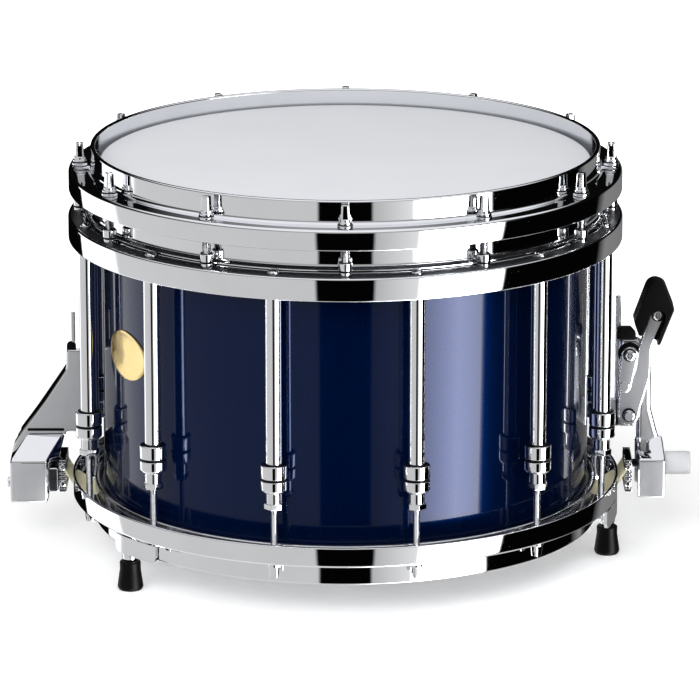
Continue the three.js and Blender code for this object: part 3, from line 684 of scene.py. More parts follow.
# A black ring round the foot of the wall: a painted shade line.
bush_shade_rings.ring(STEP_RADIUS + 0.4, SHADE_LINE_LOW, SHADE_LINE_LOW + 1.2, 1.4, RING_SEGMENTS)
piece("bush_shade_rings", bush_shade_rings, RUBBER_AND_SHADE, "drum", "black_rubber")
# A dark ring on the flat of the flange, between its bright edges: a painted dark reflection.
flange_dark_reflection = Form().ring(
    FRAME_RADIUS - BAND_INSET, FRAME_FLANGE_TOP - 0.5, FRAME_FLANGE_TOP + 0.2, BAND_WIDTH, RING_SEGMENTS,
)
piece("flange_dark_reflection", flange_dark_reflection, DARK_STEEL_AND_SHADE, "drum", "chrome")

# %% [markdown]
# ## Tension rods
# A batter rod has a slotted key head above a collar and two washers, with a nylon washer between them.
# The head is a tapered square, so it is lofted from squares with rounded corners. Both kinds of rod are
# threaded where they show: the thread is a row of ridges in the turned profile, which at this size looks
# the same as a helix.

# %% Key head and rods
THREAD_PITCH = 0.9
THREAD_DEPTH = 0.28
KEY_CORNER = 0.9
SLOT_HALF, SLOT_DEPTH = 0.6, 3.2


def key_head(low, high, base, tip):
    """A tapered square head with a slot across its top."""
    rows = []
    for width, z in [
        (base, low), (base * 0.98, low + 0.8), ((base + tip) / 2, low + (high - low) * 0.3),
        (tip, high - 1.2), (tip * 0.94, high - 0.3), (tip * 0.8, high),
    ]:
        half = width / 2
        corners = [(-half, -half), (half, -half), (half, half), (-half, half)]
        rows.append([(x, y, z) for x, y in rounded([(*corner, KEY_CORNER) for corner in corners], 30)])
    slot = Form().block(-base, base, -SLOT_HALF, SLOT_HALF, high - SLOT_DEPTH, high + 2.0, 0.1)
    return carved(Form().lofted(rows), slot)


def ridged(radius, low, high):
    """The points of a threaded stretch, from its low end to its high end."""
    turns = int((high - low) / THREAD_PITCH)
    points = []
    for i in range(turns):
        z = low + i * (high - low) / turns
        points += [(radius - THREAD_DEPTH, z), (radius, z + THREAD_PITCH / 2)]
    return points


def raised(base, profile):
    """A profile with its heights counted from a base."""
    return [(point[0], base + point[1], *point[2:]) for point in profile]


# %% Upper and lower rods
washer_base = FLANGE_TOP + SEAT
rod_low, rod_high = span("batter_rod_01")
batter_rod = Form().turned(
    raised(rod_low.z, [(0, 0), (ROD_RADIUS - 0.5, 0), (ROD_RADIUS, 0.5)])
    + ridged(ROD_RADIUS, BUSH_TOP - 1.0, washer_base - 3.0)
    + rounded(raised(washer_base, [
        (ROD_RADIUS, 0, 0.1), (5.65, 0, 0.4), (5.65, 1.9, 0.5), (4.3, 2.0, 0.1), (4.3, 2.6, 0.1),
        (5.1, 2.7, 0.3), (5.1, 4.3, 0.5), (4.1, 4.4, 0.1), (4.1, 6.3, 0.6), (0, 6.5, 0),
    ])),
)
batter_rod.form(key_head(washer_base + 6.2, rod_high.z, 6.2, 5.3))
nylon_washer = Form().ring(5.3, washer_base + 1.9, washer_base + 2.7, 1.4)

SNARE_ROD_RADIUS = 2.5
SNARE_WASHER = 2.4
snare_washer_top = -DEPTH - FLANGE_TOP - SEAT
snare_low, snare_high = span("snare_rod_01")
snare_rod = Form().turned(
    raised(snare_washer_top, [
        (0, -SNARE_WASHER), (4.5, -SNARE_WASHER), (4.8, -2.1), (4.8, -0.3), (4.5, 0), (SNARE_ROD_RADIUS, 0),
    ])
    + ridged(SNARE_ROD_RADIUS, snare_washer_top + 1.0, snare_high.z - 0.5)
    + [(SNARE_ROD_RADIUS - 0.4, snare_high.z), (0, snare_high.z)],
    PIN_SEGMENTS,
)
turned_over = Matrix.Translation((0, 0, snare_low.z)) @ Matrix.Rotation(pi, 4, "X")
key_length = snare_washer_top - SNARE_WASHER - snare_low.z
snare_rod.form(key_head(-key_length - 0.4, 0, 6.6, 5.6), turned_over)

for i in range(ROD_COUNT):
    label = f"{i + 1:02d}"
    upper, lower = f"batter_rod_{label}", f"snare_rod_{label}"
    piece(f"key_rod_{label}", Form().form(batter_rod, rod_place(i)), CHROME, upper, "chrome", upper)
    piece(f"nylon_washer_{label}", Form().form(nylon_washer, rod_place(i)), RUBBER_AND_SHADE, upper, "black_rubber")
    piece(f"lower_rod_{label}", Form().form(snare_rod, rod_place(i + 0.5)), CHROME, lower, "chrome", lower)

# %% [markdown]
# ## Tube lugs
# Each lug is a tube with two fat collars, a neck and a hexagonal nut, all turned in one profile but for
# the nut, which is cut from a six-sided plate. Black rings in the groove between the collars and where the
# tube enters them are painted shade. A dome screw holds the tube from above the frame ring.

# %% Tube lugs
TUBE_RADIUS = 5.8
COLLAR_RADIUS = 9.6
GROOVE_RADIUS = 6.9
NUT_RADIUS = 7.2
NUT_NECK = 5.9
DOME_RADIUS = 4.4
nut_top = LUG_END + 4.3
neck_top = nut_top + 8.6
groove_low = neck_top + 7.9
groove_high = groove_low + 1.5
collar_top = groove_high + 9.9
tube_top = FRAME_FLANGE_LOW - SEAT

lug = Form().turned(rounded([
    (0, nut_top - 0.2, 0), (NUT_NECK, nut_top - 0.2, 0.1), (NUT_NECK, neck_top - 1.2, 0.6),
    (8.6, neck_top - 0.2, 0.9), (COLLAR_RADIUS, neck_top + 1.4, 0.8), (COLLAR_RADIUS, groove_low, 0.4),
    (GROOVE_RADIUS, groove_low + 0.1, 0.2), (GROOVE_RADIUS, groove_high + 0.3, 0.2),
    (COLLAR_RADIUS, groove_high + 0.4, 0.4), (COLLAR_RADIUS, collar_top, 0.7),
    (TUBE_RADIUS + 1.0, collar_top, 0.2), (TUBE_RADIUS + 0.8, collar_top - 1.4, 0.1),
    (TUBE_RADIUS, collar_top - 1.4, 0.1), (TUBE_RADIUS, tube_top, 0.5), (0, tube_top, 0),
], 20), 40)
sixths = [k * pi / 3 for k in range(6)]
hexagon = [(NUT_RADIUS * sin(angle), NUT_RADIUS * cos(angle), 0.3) for angle in sixths]
lug.plate(rounded(hexagon), LUG_END, nut_top, 0.5, Matrix.Rotation(pi / 2, 4, "X"))
dome_low = FRAME_FLANGE_TOP + SEAT
dome_height = LUG_TOP - dome_low - 0.4
bends = [k * pi / 18 for k in range(9)]
lug.turned(
    [(0, dome_low), (DOME_RADIUS, dome_low)]
    + [(DOME_RADIUS * cos(a), dome_low + 0.4 + dome_height * sin(a)) for a in bends]
    + [(0, LUG_TOP)],
)
lug_shade_rings = Form()
for i in range(ROD_COUNT):
    label, place = f"{i + 1:02d}", rod_place(i + 0.5)
    piece(f"long_lug_{label}", Form().form(lug, place), CHROME, "drum", "chrome", f"tube_lug_{label}")
    # Black rings filling the groove and round the tube's entry: painted shade.
    lug_shade_rings.ring(COLLAR_RADIUS - 0.6, groove_low - 0.1, groove_high + 0.4, 2.2, place=place)
    lug_shade_rings.ring(TUBE_RADIUS + 1.9, collar_top - 0.8, collar_top + 0.6, 1.95, place=place)
piece("lug_shade_rings", lug_shade_rings, RUBBER_AND_SHADE, "drum", "black_rubber")

# %% [markdown]
# ## Feet
# A foot is a curved bracket under the hoop's skirt, a chrome stem and a rubber cap that flares towards
# the floor. The bracket's curve follows the hoop, so it is lofted from upright sections round the axis.

# %% Feet
FOOT_WALL = 2.4
FOOT_WALL_ARC = 13.0
FOOT_WALL_HEIGHT = 13.0
FOOT_CORNER = 4.0
WALL_OFFSETS = (3.75, -2.75, 3.75)
STEM_RADIUS = 6.2
STEM_DROP = 19.0
FOOT_TOP_RADIUS = 7.6
FOOT_BASE_RADIUS = 9.3
foot_top = snare_washer_top
foot_circle = HOOP_RADIUS - SEAT - STEM_RADIUS


def bent_plate(radius, wall, middle, arc, low, high, corner):
    """A plate bent round the drum's axis, with rounded lower corners, lofted from upright sections."""
    columns, rows = 24, 10
    half = radians(arc / 2)
    sections = []
    for i in range(columns + 1):
        across = 2 * i / columns - 1
        run = (1 - abs(across)) * half * radius
        start = low + corner - sqrt(corner ** 2 - max(0, corner - run) ** 2)
        heights = [start + (high - start) * j / rows for j in range(rows + 1)]
        section = [(radius, z) for z in heights] + [(radius - wall, z) for z in heights[::-1]]
        angle = radians(middle) + across * half
        sections.append([(u * sin(angle), -u * cos(angle), z) for u, z in section])
    return Form().lofted(sections)


stem = rounded(raised(foot_top, [
    (0, -STEM_DROP, 0), (4.9, -STEM_DROP, 0.5), (STEM_RADIUS, -FOOT_WALL_HEIGHT, 1.2), (STEM_RADIUS, 0, 0.6),
    (0, 0, 0),
]))
cap_top = foot_top - STEM_DROP - SEAT
cap = rounded([
    (0, FLOOR_Z, 0), (FOOT_BASE_RADIUS - 1.2, FLOOR_Z, 0.8), (FOOT_BASE_RADIUS, FLOOR_Z + 2.4, 1.6),
    (FOOT_TOP_RADIUS - 0.1, cap_top - 6.0, 9.0), (FOOT_TOP_RADIUS, cap_top, 1.3), (4.6, cap_top, 0.6),
    (4.2, cap_top - 1.0, 0.2), (0, cap_top - 1.0, 0),
])
for i in range(3):
    middle = sum(span(f"rubber_foot_{i + 1}"), Vector()) / 2
    azimuth = degrees(atan2(middle.x, -middle.y))
    bracket = bent_plate(HOOP_RADIUS - SEAT, FOOT_WALL, azimuth + WALL_OFFSETS[i], FOOT_WALL_ARC,
                         foot_top - FOOT_WALL_HEIGHT, foot_top, FOOT_CORNER)
    bracket.turned(stem, 40, on_circle(azimuth, foot_circle))
    piece(f"foot_holder_{i + 1}", bracket, CHROME, "drum", "chrome", f"foot_bracket_{i + 1}")
    form = Form().turned(cap, 48, on_circle(azimuth, foot_circle))
    piece(f"foot_cap_{i + 1}", form, RUBBER_AND_SHADE, "drum", "black_rubber", f"rubber_foot_{i + 1}")

# %% [markdown]
# ## Badge
# The oval badge is thin gold plate bent to the shell, bare, with a raised border. It is a grid of rings
# from the centre outwards, wrapped onto the shell's cylinder.

# %% Badge
BADGE_AZIMUTH = radians(-62.0)
BADGE_HALF_WIDTH = 29.0
BADGE_THICKNESS = 0.8
OVAL_RINGS = [(0.0, 0.5), (0.45, 0.5), (0.86, 0.5), (0.89, 0.8), (0.965, 0.8), (1.0, 0.45), (1.0, 0.0)]
badge_low, badge_high = span("badge")
badge_middle = (badge_low + badge_high) / 2
badge_half_height = (badge_high.z - badge_low.z) / 2


def wrapped_oval(steps=96):
    """Rings of (share of the oval, share of its thickness) wrapped on the shell."""
    rows = []
    for share, rise in OVAL_RINGS:
        radius = SHELL_RADIUS + SEAT + rise * BADGE_THICKNESS
        row = []
        for angle in [2 * pi * k / steps for k in range(steps)]:
            across = BADGE_HALF_WIDTH * share * cos(angle)
            around = BADGE_AZIMUTH + asin(across / (SHELL_RADIUS + BADGE_THICKNESS))
            z = badge_middle.z + badge_half_height * share * sin(angle)
            row.append((radius * sin(around), -radius * cos(around), z))
        rows.append(row)
    oval = Form().lofted(rows)
    oval.faces.pop(0)  # the first ring is the middle point, which needs no cap
    return oval


piece("oval_badge", wrapped_oval(), GOLD, "drum", "gold_plate", "badge")

# %% [markdown]
# ## Screws
# Small screws show all over the throw-off. One pan head with a cross recess is carved once, and then
# set wherever a screw is needed.

# %% A cross-recess screw
def cross_screw(radius, height):
    """A pan head from height 0 upwards, with a cross cut into it."""
    shares = [(0, 0), (1, 0), (1, 0.35), (0.93, 0.68), (0.74, 0.9), (0.4, 1), (0, 1)]
    screw = Form().turned([(radius * u, height * v) for u, v in shares])
    arm, wide = radius * 0.58, radius * 0.15
    for x, y in ((arm, wide), (wide, arm)):
        screw = carved(screw, Form().block(-x, x, -y, y, height * 0.3, height * 2, 0.02))
    return screw


LARGE_SCREW = cross_screw(4.3, 2.3)
SMALL_SCREW = cross_screw(2.4, 1.5)
# A thin black disc under a screw head: a painted shadow ring round the head.
SHADE_WASHER = Form().pin(5.0, 0.35)

# %% [markdown]
# ## Throw-off
# The throw-off lets the strands drop away from the head. A fixed bracket carries the lever, the lever
# works a link, and the link moves a carriage that holds the strands' end. All of it is plate work, in
# layers along Y from the front to the back.

# %% Throw-off sizes
HOOP_LINE = span("snare_hoop")[1].z
PIVOT = Vector((207.2, 0, HOOP_LINE + 41.6))
LINK_TOP = PIVOT + Vector((0, 0, 45.6))
LINK_LOW = PIVOT + Vector((-3.8, 0, 21.8))
LEVER_TIP = PIVOT + Vector((20.3, 0, 75.4))
LINK_FRONT, LINK_BACK = -6.6, -4.6
LEVER_FRONT, LEVER_BACK = -4.3, -1.8
PLATE_FRONT, PLATE_BACK = -1.5, 1.5
EAR_FRONT, EAR_BACK = 1.8, 4.8
EAR_HALF = 10.5
POST_HEIGHT = 88.1
PIN_RADIUS = 3.2
PRESSED_EDGE = 3.6
HANGER_RADIUS = 2.6
HANGER_X = SHELL_RADIUS + 3.4 + HANGER_RADIUS


def beside(origin, corners):
    """Corners (x, z, radius) counted from a point of the part."""
    return [(origin.x + x, origin.z + z, radius) for x, z, radius in corners]


def facing(point, y):
    """A place at a point of the part whose heights run towards the front from y."""
    return towards_front(point.x, y, point.z)


def hanger(x, y, low):
    """The rod that a bracket hangs on, up to the frame ring."""
    top = FRAME_FLANGE_LOW - SEAT
    rod = rounded([(0, low, 0), (HANGER_RADIUS, low, 0.5), (HANGER_RADIUS, top, 0.3), (0, top, 0)])
    return Form().turned(rod, PIN_SEGMENTS, Matrix.Translation((x, y, 0)))


# %% The fixed bracket
ear_low, ear_high = PIVOT.z - EAR_HALF, PIVOT.z + EAR_HALF
post_top = PIVOT.z + POST_HEIGHT
bracket = hanger(HANGER_X, (EAR_FRONT + EAR_BACK) / 2, ear_low)
bracket.block(HANGER_X, PIVOT.x + 4.3, EAR_FRONT, EAR_BACK, ear_low, ear_high, 0.6, 2.0)
bracket.block(HOOP_RADIUS - 3.1, HOOP_RADIUS + 0.8, EAR_FRONT, EAR_BACK, ear_low, post_top, 0.9, 1.6)
bracket.pin(PIN_RADIUS, 12.0, PIN_SEGMENTS, facing(PIVOT, EAR_FRONT + 0.5))
bracket.form(LARGE_SCREW, facing(PIVOT, LINK_FRONT + 0.3))
# Flat faces take the satin finish: a painted reflection of one pale wall.
piece("throw_off_bracket", bracket, CHROME, "drum", "satin_alloy", "strainer_bracket", faces=SATIN_REFLECTION)
# Black discs at the pivot's screw: painted shadow rings.
pivot_shade_washers = Form().form(SHADE_WASHER, facing(PIVOT, LEVER_FRONT - 0.1))
pivot_shade_washers.form(SHADE_WASHER, facing(PIVOT, LINK_FRONT + 0.25))
piece("pivot_shade_washers", pivot_shade_washers, RUBBER_AND_SHADE, "drum", "black_rubber")

# %% [markdown]
# The carriage is the pale plate behind the lever and the box below it. The box is the hull of its
# corners and a ridge, hollow inside, with a square window in the sloping face. The real plates are
# polished too, but their flat faces mirror one pale wall, so they look like satin paper with bright
# and black lines where the edges turn. Flat faces therefore take the satin finish as a painted reflection
# of that wall, and edges the chrome.

# %% The carriage
BOX_EDGE = 1.6


def gable_box(near, far, low, top, ridge, shift, half=22.0, wall=3.0):
    """A box with a ridge above it, hollow towards the drum and below."""
    shape = bmesh.new()
    corners = [(x, y, z) for x in (near, far) for y in (-half, half) for z in (low, top)]
    corners += [(x + shift, 0, ridge) for x in (near, far)]
    for corner in corners:
        shape.verts.new(corner)
    bmesh.ops.convex_hull(shape, input=shape.verts)
    bmesh.ops.dissolve_limit(shape, angle_limit=0.01, verts=shape.verts, edges=shape.edges)
    bmesh.ops.bevel(shape, geom=shape.edges, offset=BOX_EDGE, segments=4, profile=0.5, affect="EDGES")
    form = Form().add([v.co.copy() for v in shape.verts], [[v.index for v in f.verts] for f in shape.faces])
    shape.free()
    side = copysign(1, far - near)
    x0, x1 = sorted((near - side * 15.0, far - side * wall))
    return carved(form, Form().block(x0, x1, wall - half, half - wall, low - 5.0, top - wall, 0.8))


BOX_NEAR, BOX_FAR = 213.5, 233.5
BOX_TOP = HOOP_LINE + 12.2
BOX_DEPTH = 29.0
BOX_RIDGE = 12.3
HOLE_LENGTH = 12.0
KNOB_Z = HOOP_LINE + 3.8
carriage_outline = rounded(beside(PIVOT, [
    (-7.7, 12.4, 4.2), (-7.7, 57.6, 4.2), (5.8, 57.6, 4.2), (16.0, 50.0, 5), (16.0, 4.5, 22),
    (20.7, -13.5, 22), (26.1, -29.4, 4.2), (5.8, -29.4, 4.2), (5.8, 12.4, 3),
]), 8)
carriage = Form().plate(carriage_outline, PLATE_FRONT, PLATE_BACK, front_edge=PRESSED_EDGE)
box_form = gable_box(BOX_NEAR, BOX_FAR, BOX_TOP - BOX_DEPTH, BOX_TOP, BOX_TOP + BOX_RIDGE, -1.6)
knob_hole = Form().pin(3.6, HOLE_LENGTH, place=towards_right(BOX_FAR - 7.5, 0, KNOB_Z))
window = Form().block(BOX_NEAR + 0.9, BOX_NEAR + 8.7, -14.6, -3.2, BOX_TOP - 6.0, BOX_TOP + 18.0, 1.8)
carriage.form(carved(carved(box_form, knob_hole), window))
carriage.pin(PIN_RADIUS, 7, PIN_SEGMENTS, facing(LINK_TOP, PLATE_FRONT + 0.5))
carriage.form(LARGE_SCREW, facing(LINK_TOP, LINK_FRONT + 0.1))
piece("throw_off_carriage", carriage, CHROME, "carriage", "satin_alloy", "strainer_carriage", faces=SATIN_REFLECTION)

head_block = rounded(beside(PIVOT, [
    (-9.7, 57.6, 1), (-9.7, 66.1, 3), (0.6, 66.1, 1), (4.2, 62.0, 1), (4.2, 57.6, 1),
]))
inner_parts = Form().plate(head_block, -7.5, PLATE_BACK, 0.9)
# A black disc under the link's top screw: a painted shadow ring.
inner_parts.form(SHADE_WASHER, facing(LINK_TOP, LINK_FRONT + 0.05))
# A thin black disc round the link's top: painted shade of a recess.
recess_shade = [(0, 0, 0), (8.4, 0, 0.1), (8.4, 0.5, 0.2), (0, 0.5, 0)]
inner_parts.turned(rounded(recess_shade), 48, facing(LINK_TOP, PLATE_FRONT + 0.1))
# A black block inside the box, seen through the window: painted shade of the closed hollow.
inner_parts.block(BOX_NEAR + 1.5, BOX_FAR - 4.0, -17.5, -4.0, BOX_TOP - 26.0, BOX_TOP - 3.4, 0.8, 1.0)
piece("carriage_blocks_and_shade", inner_parts, RUBBER_AND_SHADE, "carriage", "black_rubber")

# %% [markdown]
# The lever is a flat plate with a lobe round its pivot. Its top sits in a black rubber grip, which is
# open at the front over the lever's screw.

# %% Lever, grip and link
lever_outline = rounded(beside(PIVOT, [
    (15.4, 80.0, 4.4), (25.0, 80.3, 4.4), (24.9, 72.4, 3), (15.8, 50.1, 14), (15.4, 28.9, 14), (8.9, 6.0, 9),
    (5.6, -8.3, 7.6), (-8.3, -8.3, 7.6), (-8.3, 6.0, 6), (-7.8, 18.3, 6), (3.8, 31.1, 14), (6.1, 50.1, 14),
]), 10)
lever = Form().plate(lever_outline, LEVER_FRONT, LEVER_BACK, front_edge=1.4)
lever.form(LARGE_SCREW, facing(LEVER_TIP, LEVER_FRONT + 0.1))
# Flat faces take the satin finish: a painted reflection of one pale wall.
piece("lever_plate", lever, CHROME, "lever", "satin_alloy", "throw_lever", faces=SATIN_REFLECTION)

GRIP_FRONT, GRIP_BACK = -15.05, 8.95
grip_low, grip_high = span("lever_grip")
grip_size = grip_high - grip_low
grip_shares = [
    (0, 0.364, 2.5), (0.332, 0.935, 7), (0.52, 1, 7), (0.764, 0.94, 6), (1, 0.571, 3), (0.644, 0, 1.6),
    (0.524, 0.04, 1.6), (0.72, 0.44, 1.5), (0.42, 0.4, 1.5), (0.154, 0.094, 2),
]
grip_corners = [(u * grip_size.x, v * grip_size.z, radius) for u, v, radius in grip_shares]
grip = Form().plate(rounded(beside(grip_low, grip_corners), 10), GRIP_FRONT, GRIP_BACK, 1.2)
grip_opening = Form().plate(rounded(beside(PIVOT, [
    (14.7, 80.6, 4.6), (25.5, 81.0, 4.6), (25.5, 71.4, 2), (16.4, 47.5, 1), (5.4, 47.5, 1),
]), 10), GRIP_FRONT - CUT_OVERRUN, LEVER_BACK + 0.3, 0.4)
# The disc under the lever's screw is a painted shadow ring.
grip = carved(grip, grip_opening).form(SHADE_WASHER, facing(LEVER_TIP, LEVER_FRONT + 0.05))
piece("rubber_grip", grip, RUBBER_AND_SHADE, "lever", "black_rubber", "lever_grip")

link_outline = capsule(LINK_TOP.x, LINK_TOP.z, 6.2, LINK_LOW.x, LINK_LOW.z, 5.2)
link = Form().plate(link_outline, LINK_FRONT, LINK_BACK, front_edge=1.0)
rivet = rounded([(0, 0, 0), (4.0, 0, 0.1), (4.0, 1.2, 0.6), (0, 1.3, 0)])
link.turned(rivet, 32, facing(LINK_LOW, LINK_FRONT + 0.2))
# Flat faces take the satin finish: a painted reflection of one pale wall.
piece("link_plate", link, CHROME, "link", "satin_alloy", "lever_link", faces=SATIN_REFLECTION)

# %% [markdown]
# The knob is a white plastic barrel on a threaded shaft. Its outer end is dished and has a shadow line.

# %% Tension knob
KNOB_RADIUS = 8.5
KNOB_LINE = 8.1
knob_low, knob_high = span("tension_knob")
knob_start = BOX_FAR + SEAT
knob = Form().turned(rounded([
    (0, knob_start, 0), (7.6, knob_start, 0.6), (KNOB_RADIUS, knob_start + 1.4, 0.8),
    *raised(knob_high.x, [
        (KNOB_RADIUS, -2.4, 0.3), (KNOB_LINE, -2.2, 0.2), (KNOB_LINE, -1.5, 0.2), (KNOB_RADIUS, -1.3, 0.3),
        (KNOB_LINE, 0, 0.7), (6.2, 0, 0.5), (5.6, -1.0, 0.5), (0, -1.0, 0),
    ]),
]), 64, towards_right(0, 0, KNOB_Z))
piece("white_knob", knob, KNOB_WHITE, "knob", "pale_plastic", "tension_knob")
shaft_profile = [
    (0, knob_low.x), (2.5, knob_low.x), *ridged(3.0, knob_low.x + 0.5, knob_start), (0, knob_start + 0.5),
]
shaft = Form().turned(shaft_profile, PIN_SEGMENTS, towards_right(0, 0, KNOB_Z))
piece("knob_shaft", shaft, DARK_STEEL_AND_SHADE, "knob", "satin_alloy")

# %% [markdown]
# ## Strands
# The strands are separate gut cables that lie under the snare head, run out through the hoop's windows
# and bend up to a clamp bar on each side. The bends are rounded, because gut never kinks.

# %% Strands
STRAND_COUNT = 12
STRAND_PITCH = 3.3
STRAND_RADIUS = 0.6
STRAND_RISE = 18.0
BAR_X = 203.5
BAR_HALF = STRAND_COUNT * STRAND_PITCH / 2 - 2.0
BAR_LAYERS = [(-11.0, -8.6), (-7.2, -2.0), (-0.8, 0.8), (2.0, 3.6), (5.0, 11.0), (12.0, 13.0)]
GATE_X = 199.4
GATE_Z = -DEPTH + 14.2
bar_outer = span("snare_strands")[1].x
strand_z = -DEPTH - SEAT - STRAND_RADIUS
strand_end = -DEPTH + STRAND_RISE
cable_end = strand_end + 7.8
route = rounded([
    (-BAR_X - 3.0, cable_end, 0), (-GATE_X, GATE_Z, 5), (-FILM_RADIUS + 1.3, strand_z, 9),
    (FILM_RADIUS - 1.3, strand_z, 9), (GATE_X, GATE_Z, 5), (BAR_X + 3.0, cable_end, 0),
], 6)
strands = Form()
for i in range(STRAND_COUNT):
    y = (i - (STRAND_COUNT - 1) / 2) * STRAND_PITCH
    strands.tube([(x, y, z) for x, z in route], STRAND_RADIUS)
piece("gut_strands", strands, GUT, "strands", "gut", "snare_strands")
clamps = Form()
for side in (-1, 1):
    x0, x1 = sorted((side * (BAR_X + 0.6), side * bar_outer))
    core_low, core_high = strand_end + BAR_LAYERS[0][0], strand_end + BAR_LAYERS[-1][1]
    clamps.block(x0 + 1.4, x1 - 1.4, 1.0 - BAR_HALF, BAR_HALF - 1.0, core_low, core_high, 0.5, 0.8)
    for low, high in BAR_LAYERS:
        clamps.block(x0, x1, -BAR_HALF, BAR_HALF, strand_end + low, strand_end + high, 0.4, 0.6)
    for z in (strand_end + 8.0, strand_end - 4.6):
        clamps.form(SMALL_SCREW, towards_front(side * (BAR_X + 3.2), 0.2 - BAR_HALF, z))
piece("strand_clamps", clamps, CHROME, "strands", "satin_alloy", faces=DARK_STEEL_AND_SHADE)

# %% [markdown]
# ## Butt end
# The fixed anchor on the left is a plate with a sloping edge, a hanger rod, a post and a box that takes
# the clamp. It is built as the throw-off's carriage is, so both sides match.

# %% Butt end
BUTT = Vector((-HANGER_X + HANGER_RADIUS, 0, HOOP_LINE + 90.2))
BUTT_HEIGHT = 62.6
BUTT_NEAR, BUTT_FAR = -218.0, -245.0
BUTT_BOX_TOP = HOOP_LINE + 11.1
BUTT_RIDGE = BUTT_BOX_TOP + 16.8
CLAMP_Z = strand_end - 4.2
SCREW_OFFSET = 15.0
FLANGE_DEPTH = 20.0

butt_corners = [
    (0, 0, 2), (-23.4, 0, 2.5), (-23.6, -14.5, 8), (-39.4, -38.5, 30), (-62.4, -69.9, 14), (-64.9, -80.3, 2),
    (-38.2, -80.3, 2), (-22.9, -BUTT_HEIGHT, 4), (0, -BUTT_HEIGHT, 2),
]
butt = Form().plate(rounded(beside(BUTT, butt_corners), 8), PLATE_FRONT, PLATE_BACK, front_edge=1.6)
folded = beside(BUTT, [
    (-23.6, -14.5, 4), (-39.4, -38.5, 30), (-62.4, -69.9, 4), (-60.4, -69.9, 1), (-37.4, -38.5, 30),
    (-21.6, -14.5, 1),
])
butt.plate(rounded(folded, 8), PLATE_FRONT + 0.6, PLATE_FRONT + FLANGE_DEPTH, 0.4)
butt.block(BUTT.x - 19.6, BUTT.x - 16.6, PLATE_FRONT, PLATE_BACK, BUTT.z + 5.4, BUTT.z + 27.9, 0.7, 1.2)
butt.form(hanger(-HANGER_X, 0, BUTT.z - BUTT_HEIGHT))
butt_box = gable_box(BUTT_NEAR, BUTT_FAR, BUTT_BOX_TOP - 31.5, BUTT_BOX_TOP, BUTT_RIDGE, 13.0)
for y in (-SCREW_OFFSET, SCREW_OFFSET):
    place = towards_right(BUTT_FAR + 9.0, y, CLAMP_Z, -1)
    butt_box = carved(butt_box, Form().pin(2.6, HOLE_LENGTH, place=place))
butt.form(butt_box)
# Flat faces take the satin finish: a painted reflection of one pale wall.
piece("butt_plate_and_box", butt, CHROME, "drum", "satin_alloy", "butt_bracket", faces=SATIN_REFLECTION)

dome = [(-23.0, -0.4, 0.5), (-23.0, 5.8, 3.2), (-16.2, 5.8, 3.2), (-16.2, -0.4, 0.5)]
butt_cap = Form().plate(rounded(beside(BUTT, dome)), PLATE_FRONT, PLATE_BACK, 0.6)
# A thin black strip where the plate meets the box's ridge: a painted shade line.
shade_line_span = (PLATE_FRONT - 0.5, PLATE_FRONT + 0.4, BUTT_RIDGE + 0.6, BUTT_RIDGE + 2.6)
butt_cap.block(-233.0, -206.0, *shade_line_span, 0.3, 0.9)
piece("butt_cap_and_shade_line", butt_cap, RUBBER_AND_SHADE, "drum", "black_rubber")

clamp_low, clamp_high = span("butt_clamp")
jaw = (clamp_high.x - 8.6, clamp_high.x, clamp_low.y, clamp_high.y, CLAMP_Z - 6.4, CLAMP_Z + 11.6)
clamp = Form().block(*jaw, 0.8, 1.2)
for y in (-SCREW_OFFSET, SCREW_OFFSET):
    clamp.turned([(0, 0), (1.8, 0)] + ridged(2.0, 0.5, 26.0) + [(0, 26.5)], 20,
                 towards_right(clamp_high.x - 8.0, y, CLAMP_Z, -1))
    clamp.form(cross_screw(3.9, 2.0), towards_right(clamp_low.x + 2.0, y, CLAMP_Z, -1))
piece("butt_clamp_block", clamp, CHROME, "drum", "chrome", "butt_clamp", faces=DARK_STEEL_AND_SHADE)

# %% [markdown]
# ## Studio
# Chrome only looks like chrome when it has something to reflect. The world is drawn by direction: black
# flags and white cards as upright stripes round the drum, other stripes higher up, a grey floor below
# and a pale card overhead. Only reflections see them. A strong softbox low on the right is there only
# for reflections too, and only in directions below the horizon: it makes the highlight on the lacquer.
# Everything else is lit by an even pale sky and one soft lamp above, in front and to the left.

# %% World
STRIPES = [
    (-180, 6), (-142, 6), (-141, 255), (-110, 252), (-108, 214), (-60, 208), (-12.6, 206), (-12.2, 3),
    (12.2, 3), (12.6, 190), (26, 226), (36, 250), (67, 255), (68, 3), (128, 4), (136, 132), (180, 120),
]
UPPER_STRIPES = [(-180, 10), (-104, 12), (-72, 110), (-20, 170), (20, 170), (60, 120), (80, 12), (180, 10)]
GLOW_STRIPES = [
    (-180, 0), (-142, 0), (-141, 44), (-110, 37), (-108, 0),
    (30, 0), (36, 170), (40, 181), (47, 205), (54, 229), (62, 211), (66.5, 200), (68, 0), (180, 0),
]
GLOW_STRENGTH = 22.0
SKY_STRENGTH = 0.74


def stops(stripes):
    """Stripes of (degrees, screen value) as stops of a ramp."""
    return [((angle + 180) / 360, tint(value, value, value)) for angle, value in stripes]


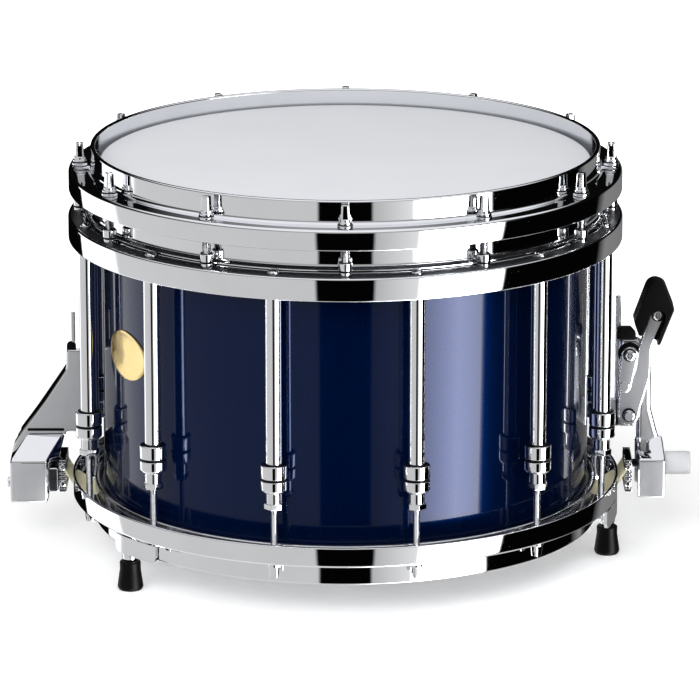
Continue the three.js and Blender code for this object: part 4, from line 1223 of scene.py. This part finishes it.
studio = bpy.data.worlds.new("studio")
scene.world = studio
sky = Paint(studio)
direction = sky.node("ShaderNodeTexCoord", out="Generated")
east, north, height = [
    sky.node("ShaderNodeSeparateXYZ", None, {"Vector": direction}, axis) for axis in ("X", "Y", "Z")
]
turn = east.math("ARCTAN2", east, 0 - north) * (1 / (2 * pi)) + 0.5
side_cards, upper_cards, glow = [
    sky.node("ShaderNodeValToRGB", {"stops": stops(stripes)}, {"Fac": turn})
    for stripes in (STRIPES, UPPER_STRIPES, GLOW_STRIPES)
]
raised_share = sky.share(height, 0.02, 0.12)
cards = sky.mix(raised_share, side_cards, upper_cards)
cards = sky.mix(sky.share(height, -0.62, -0.75), cards, tint(225, 225, 225))
cards = sky.mix(sky.share(height, 0.55, 0.7), cards, tint(246, 247, 250))
path = "ShaderNodeLightPath"
seen = sky.node(path, out="Is Camera Ray")
glossy = sky.node(path, out="Is Glossy Ray")
light = sky.mix(glossy, grey(SKY_STRENGTH), cards)
shown = sky.mix(seen, light, grey(1.0))
glow_level = sky.node("ShaderNodeSeparateColor", None, {"Color": glow}, "Red") * GLOW_STRENGTH
level = 1 + glow_level * glossy * (1 - seen) * (1 - raised_share)
background = sky.node("ShaderNodeBackground", None, {"Color": shown, "Strength": level})
sky.node("ShaderNodeOutputWorld", None, {"Surface": background})
studio.cycles.sampling_method = "NONE"
print("world nodes:", len(sky.tree.nodes))

# %% [markdown]
# The floor is a pale sheet. Its own light makes up what the lamps leave, so that it reads as white paper
# with the drum's soft shadow, and mirrors look past it to the cards.

# %% Floor and lamp
FLOOR_HALF = 12000.0 * MM
floor_mesh = bpy.data.meshes.new("studio_floor")
corners = [(x * FLOOR_HALF, y * FLOOR_HALF, FLOOR_Z * MM) for x, y in ((-1, -1), (1, -1), (1, 1), (-1, 1))]
floor_mesh.from_pydata(corners, [], [[0, 1, 2, 3]])
floor = bpy.data.objects.new("studio_floor", floor_mesh)
scene.collection.objects.link(floor)
paper = Paint(bpy.data.materials.new("studio_paper"))
seen_directly = paper.node(path, out="Is Camera Ray")
apart = paper.node("ShaderNodeVectorMath", {"operation": "LENGTH"}, {0: paper.place()}, "Value")
own_light = paper.mix(paper.share(apart, 0.36, 0.95), grey(0.3), grey(1.0))
floor_mesh.materials.append(paper.surface(
    Base_Color=grey(0.8),
    Roughness=0.9,
    Emission_Color=paper.mix(seen_directly, grey(0.0), own_light),
    Emission_Strength=1.0,
))
floor.visible_glossy = False

lamp_data = bpy.data.lights.new("front_softbox", "AREA")
lamp_data.shape = "RECTANGLE"
lamp_data.size = 2.4
lamp_data.size_y = 1.8
lamp_data.energy = 75.0
lamp = bpy.data.objects.new("front_softbox", lamp_data)
lamp.location = (-0.8, -2.8, 1.6)
lamp.rotation_euler = (radians(60), 0, radians(-16))
lamp.visible_glossy = False
scene.collection.objects.link(lamp)
print("lamp:", lamp_data.energy, "W at", tuple(round(c, 2) for c in lamp.location))

# %% [markdown]
# ## Camera
# The drum was photographed from well back with a long lens, a little above the rim.

# %% Camera
camera_data = bpy.data.cameras.new("camera")
camera_data.sensor_width = 36.0
camera_data.lens = 262.81
camera = bpy.data.objects.new("camera", camera_data)
camera.location = (0.00329, -3.6007, 0.8279)
camera.rotation_euler = (radians(74.891), 0, 0)
scene.collection.objects.link(camera)
scene.camera = camera
scene.view_settings.view_transform = "Standard"
print("camera:", camera_data.lens, "mm at", tuple(round(c, 3) for c in camera.location))
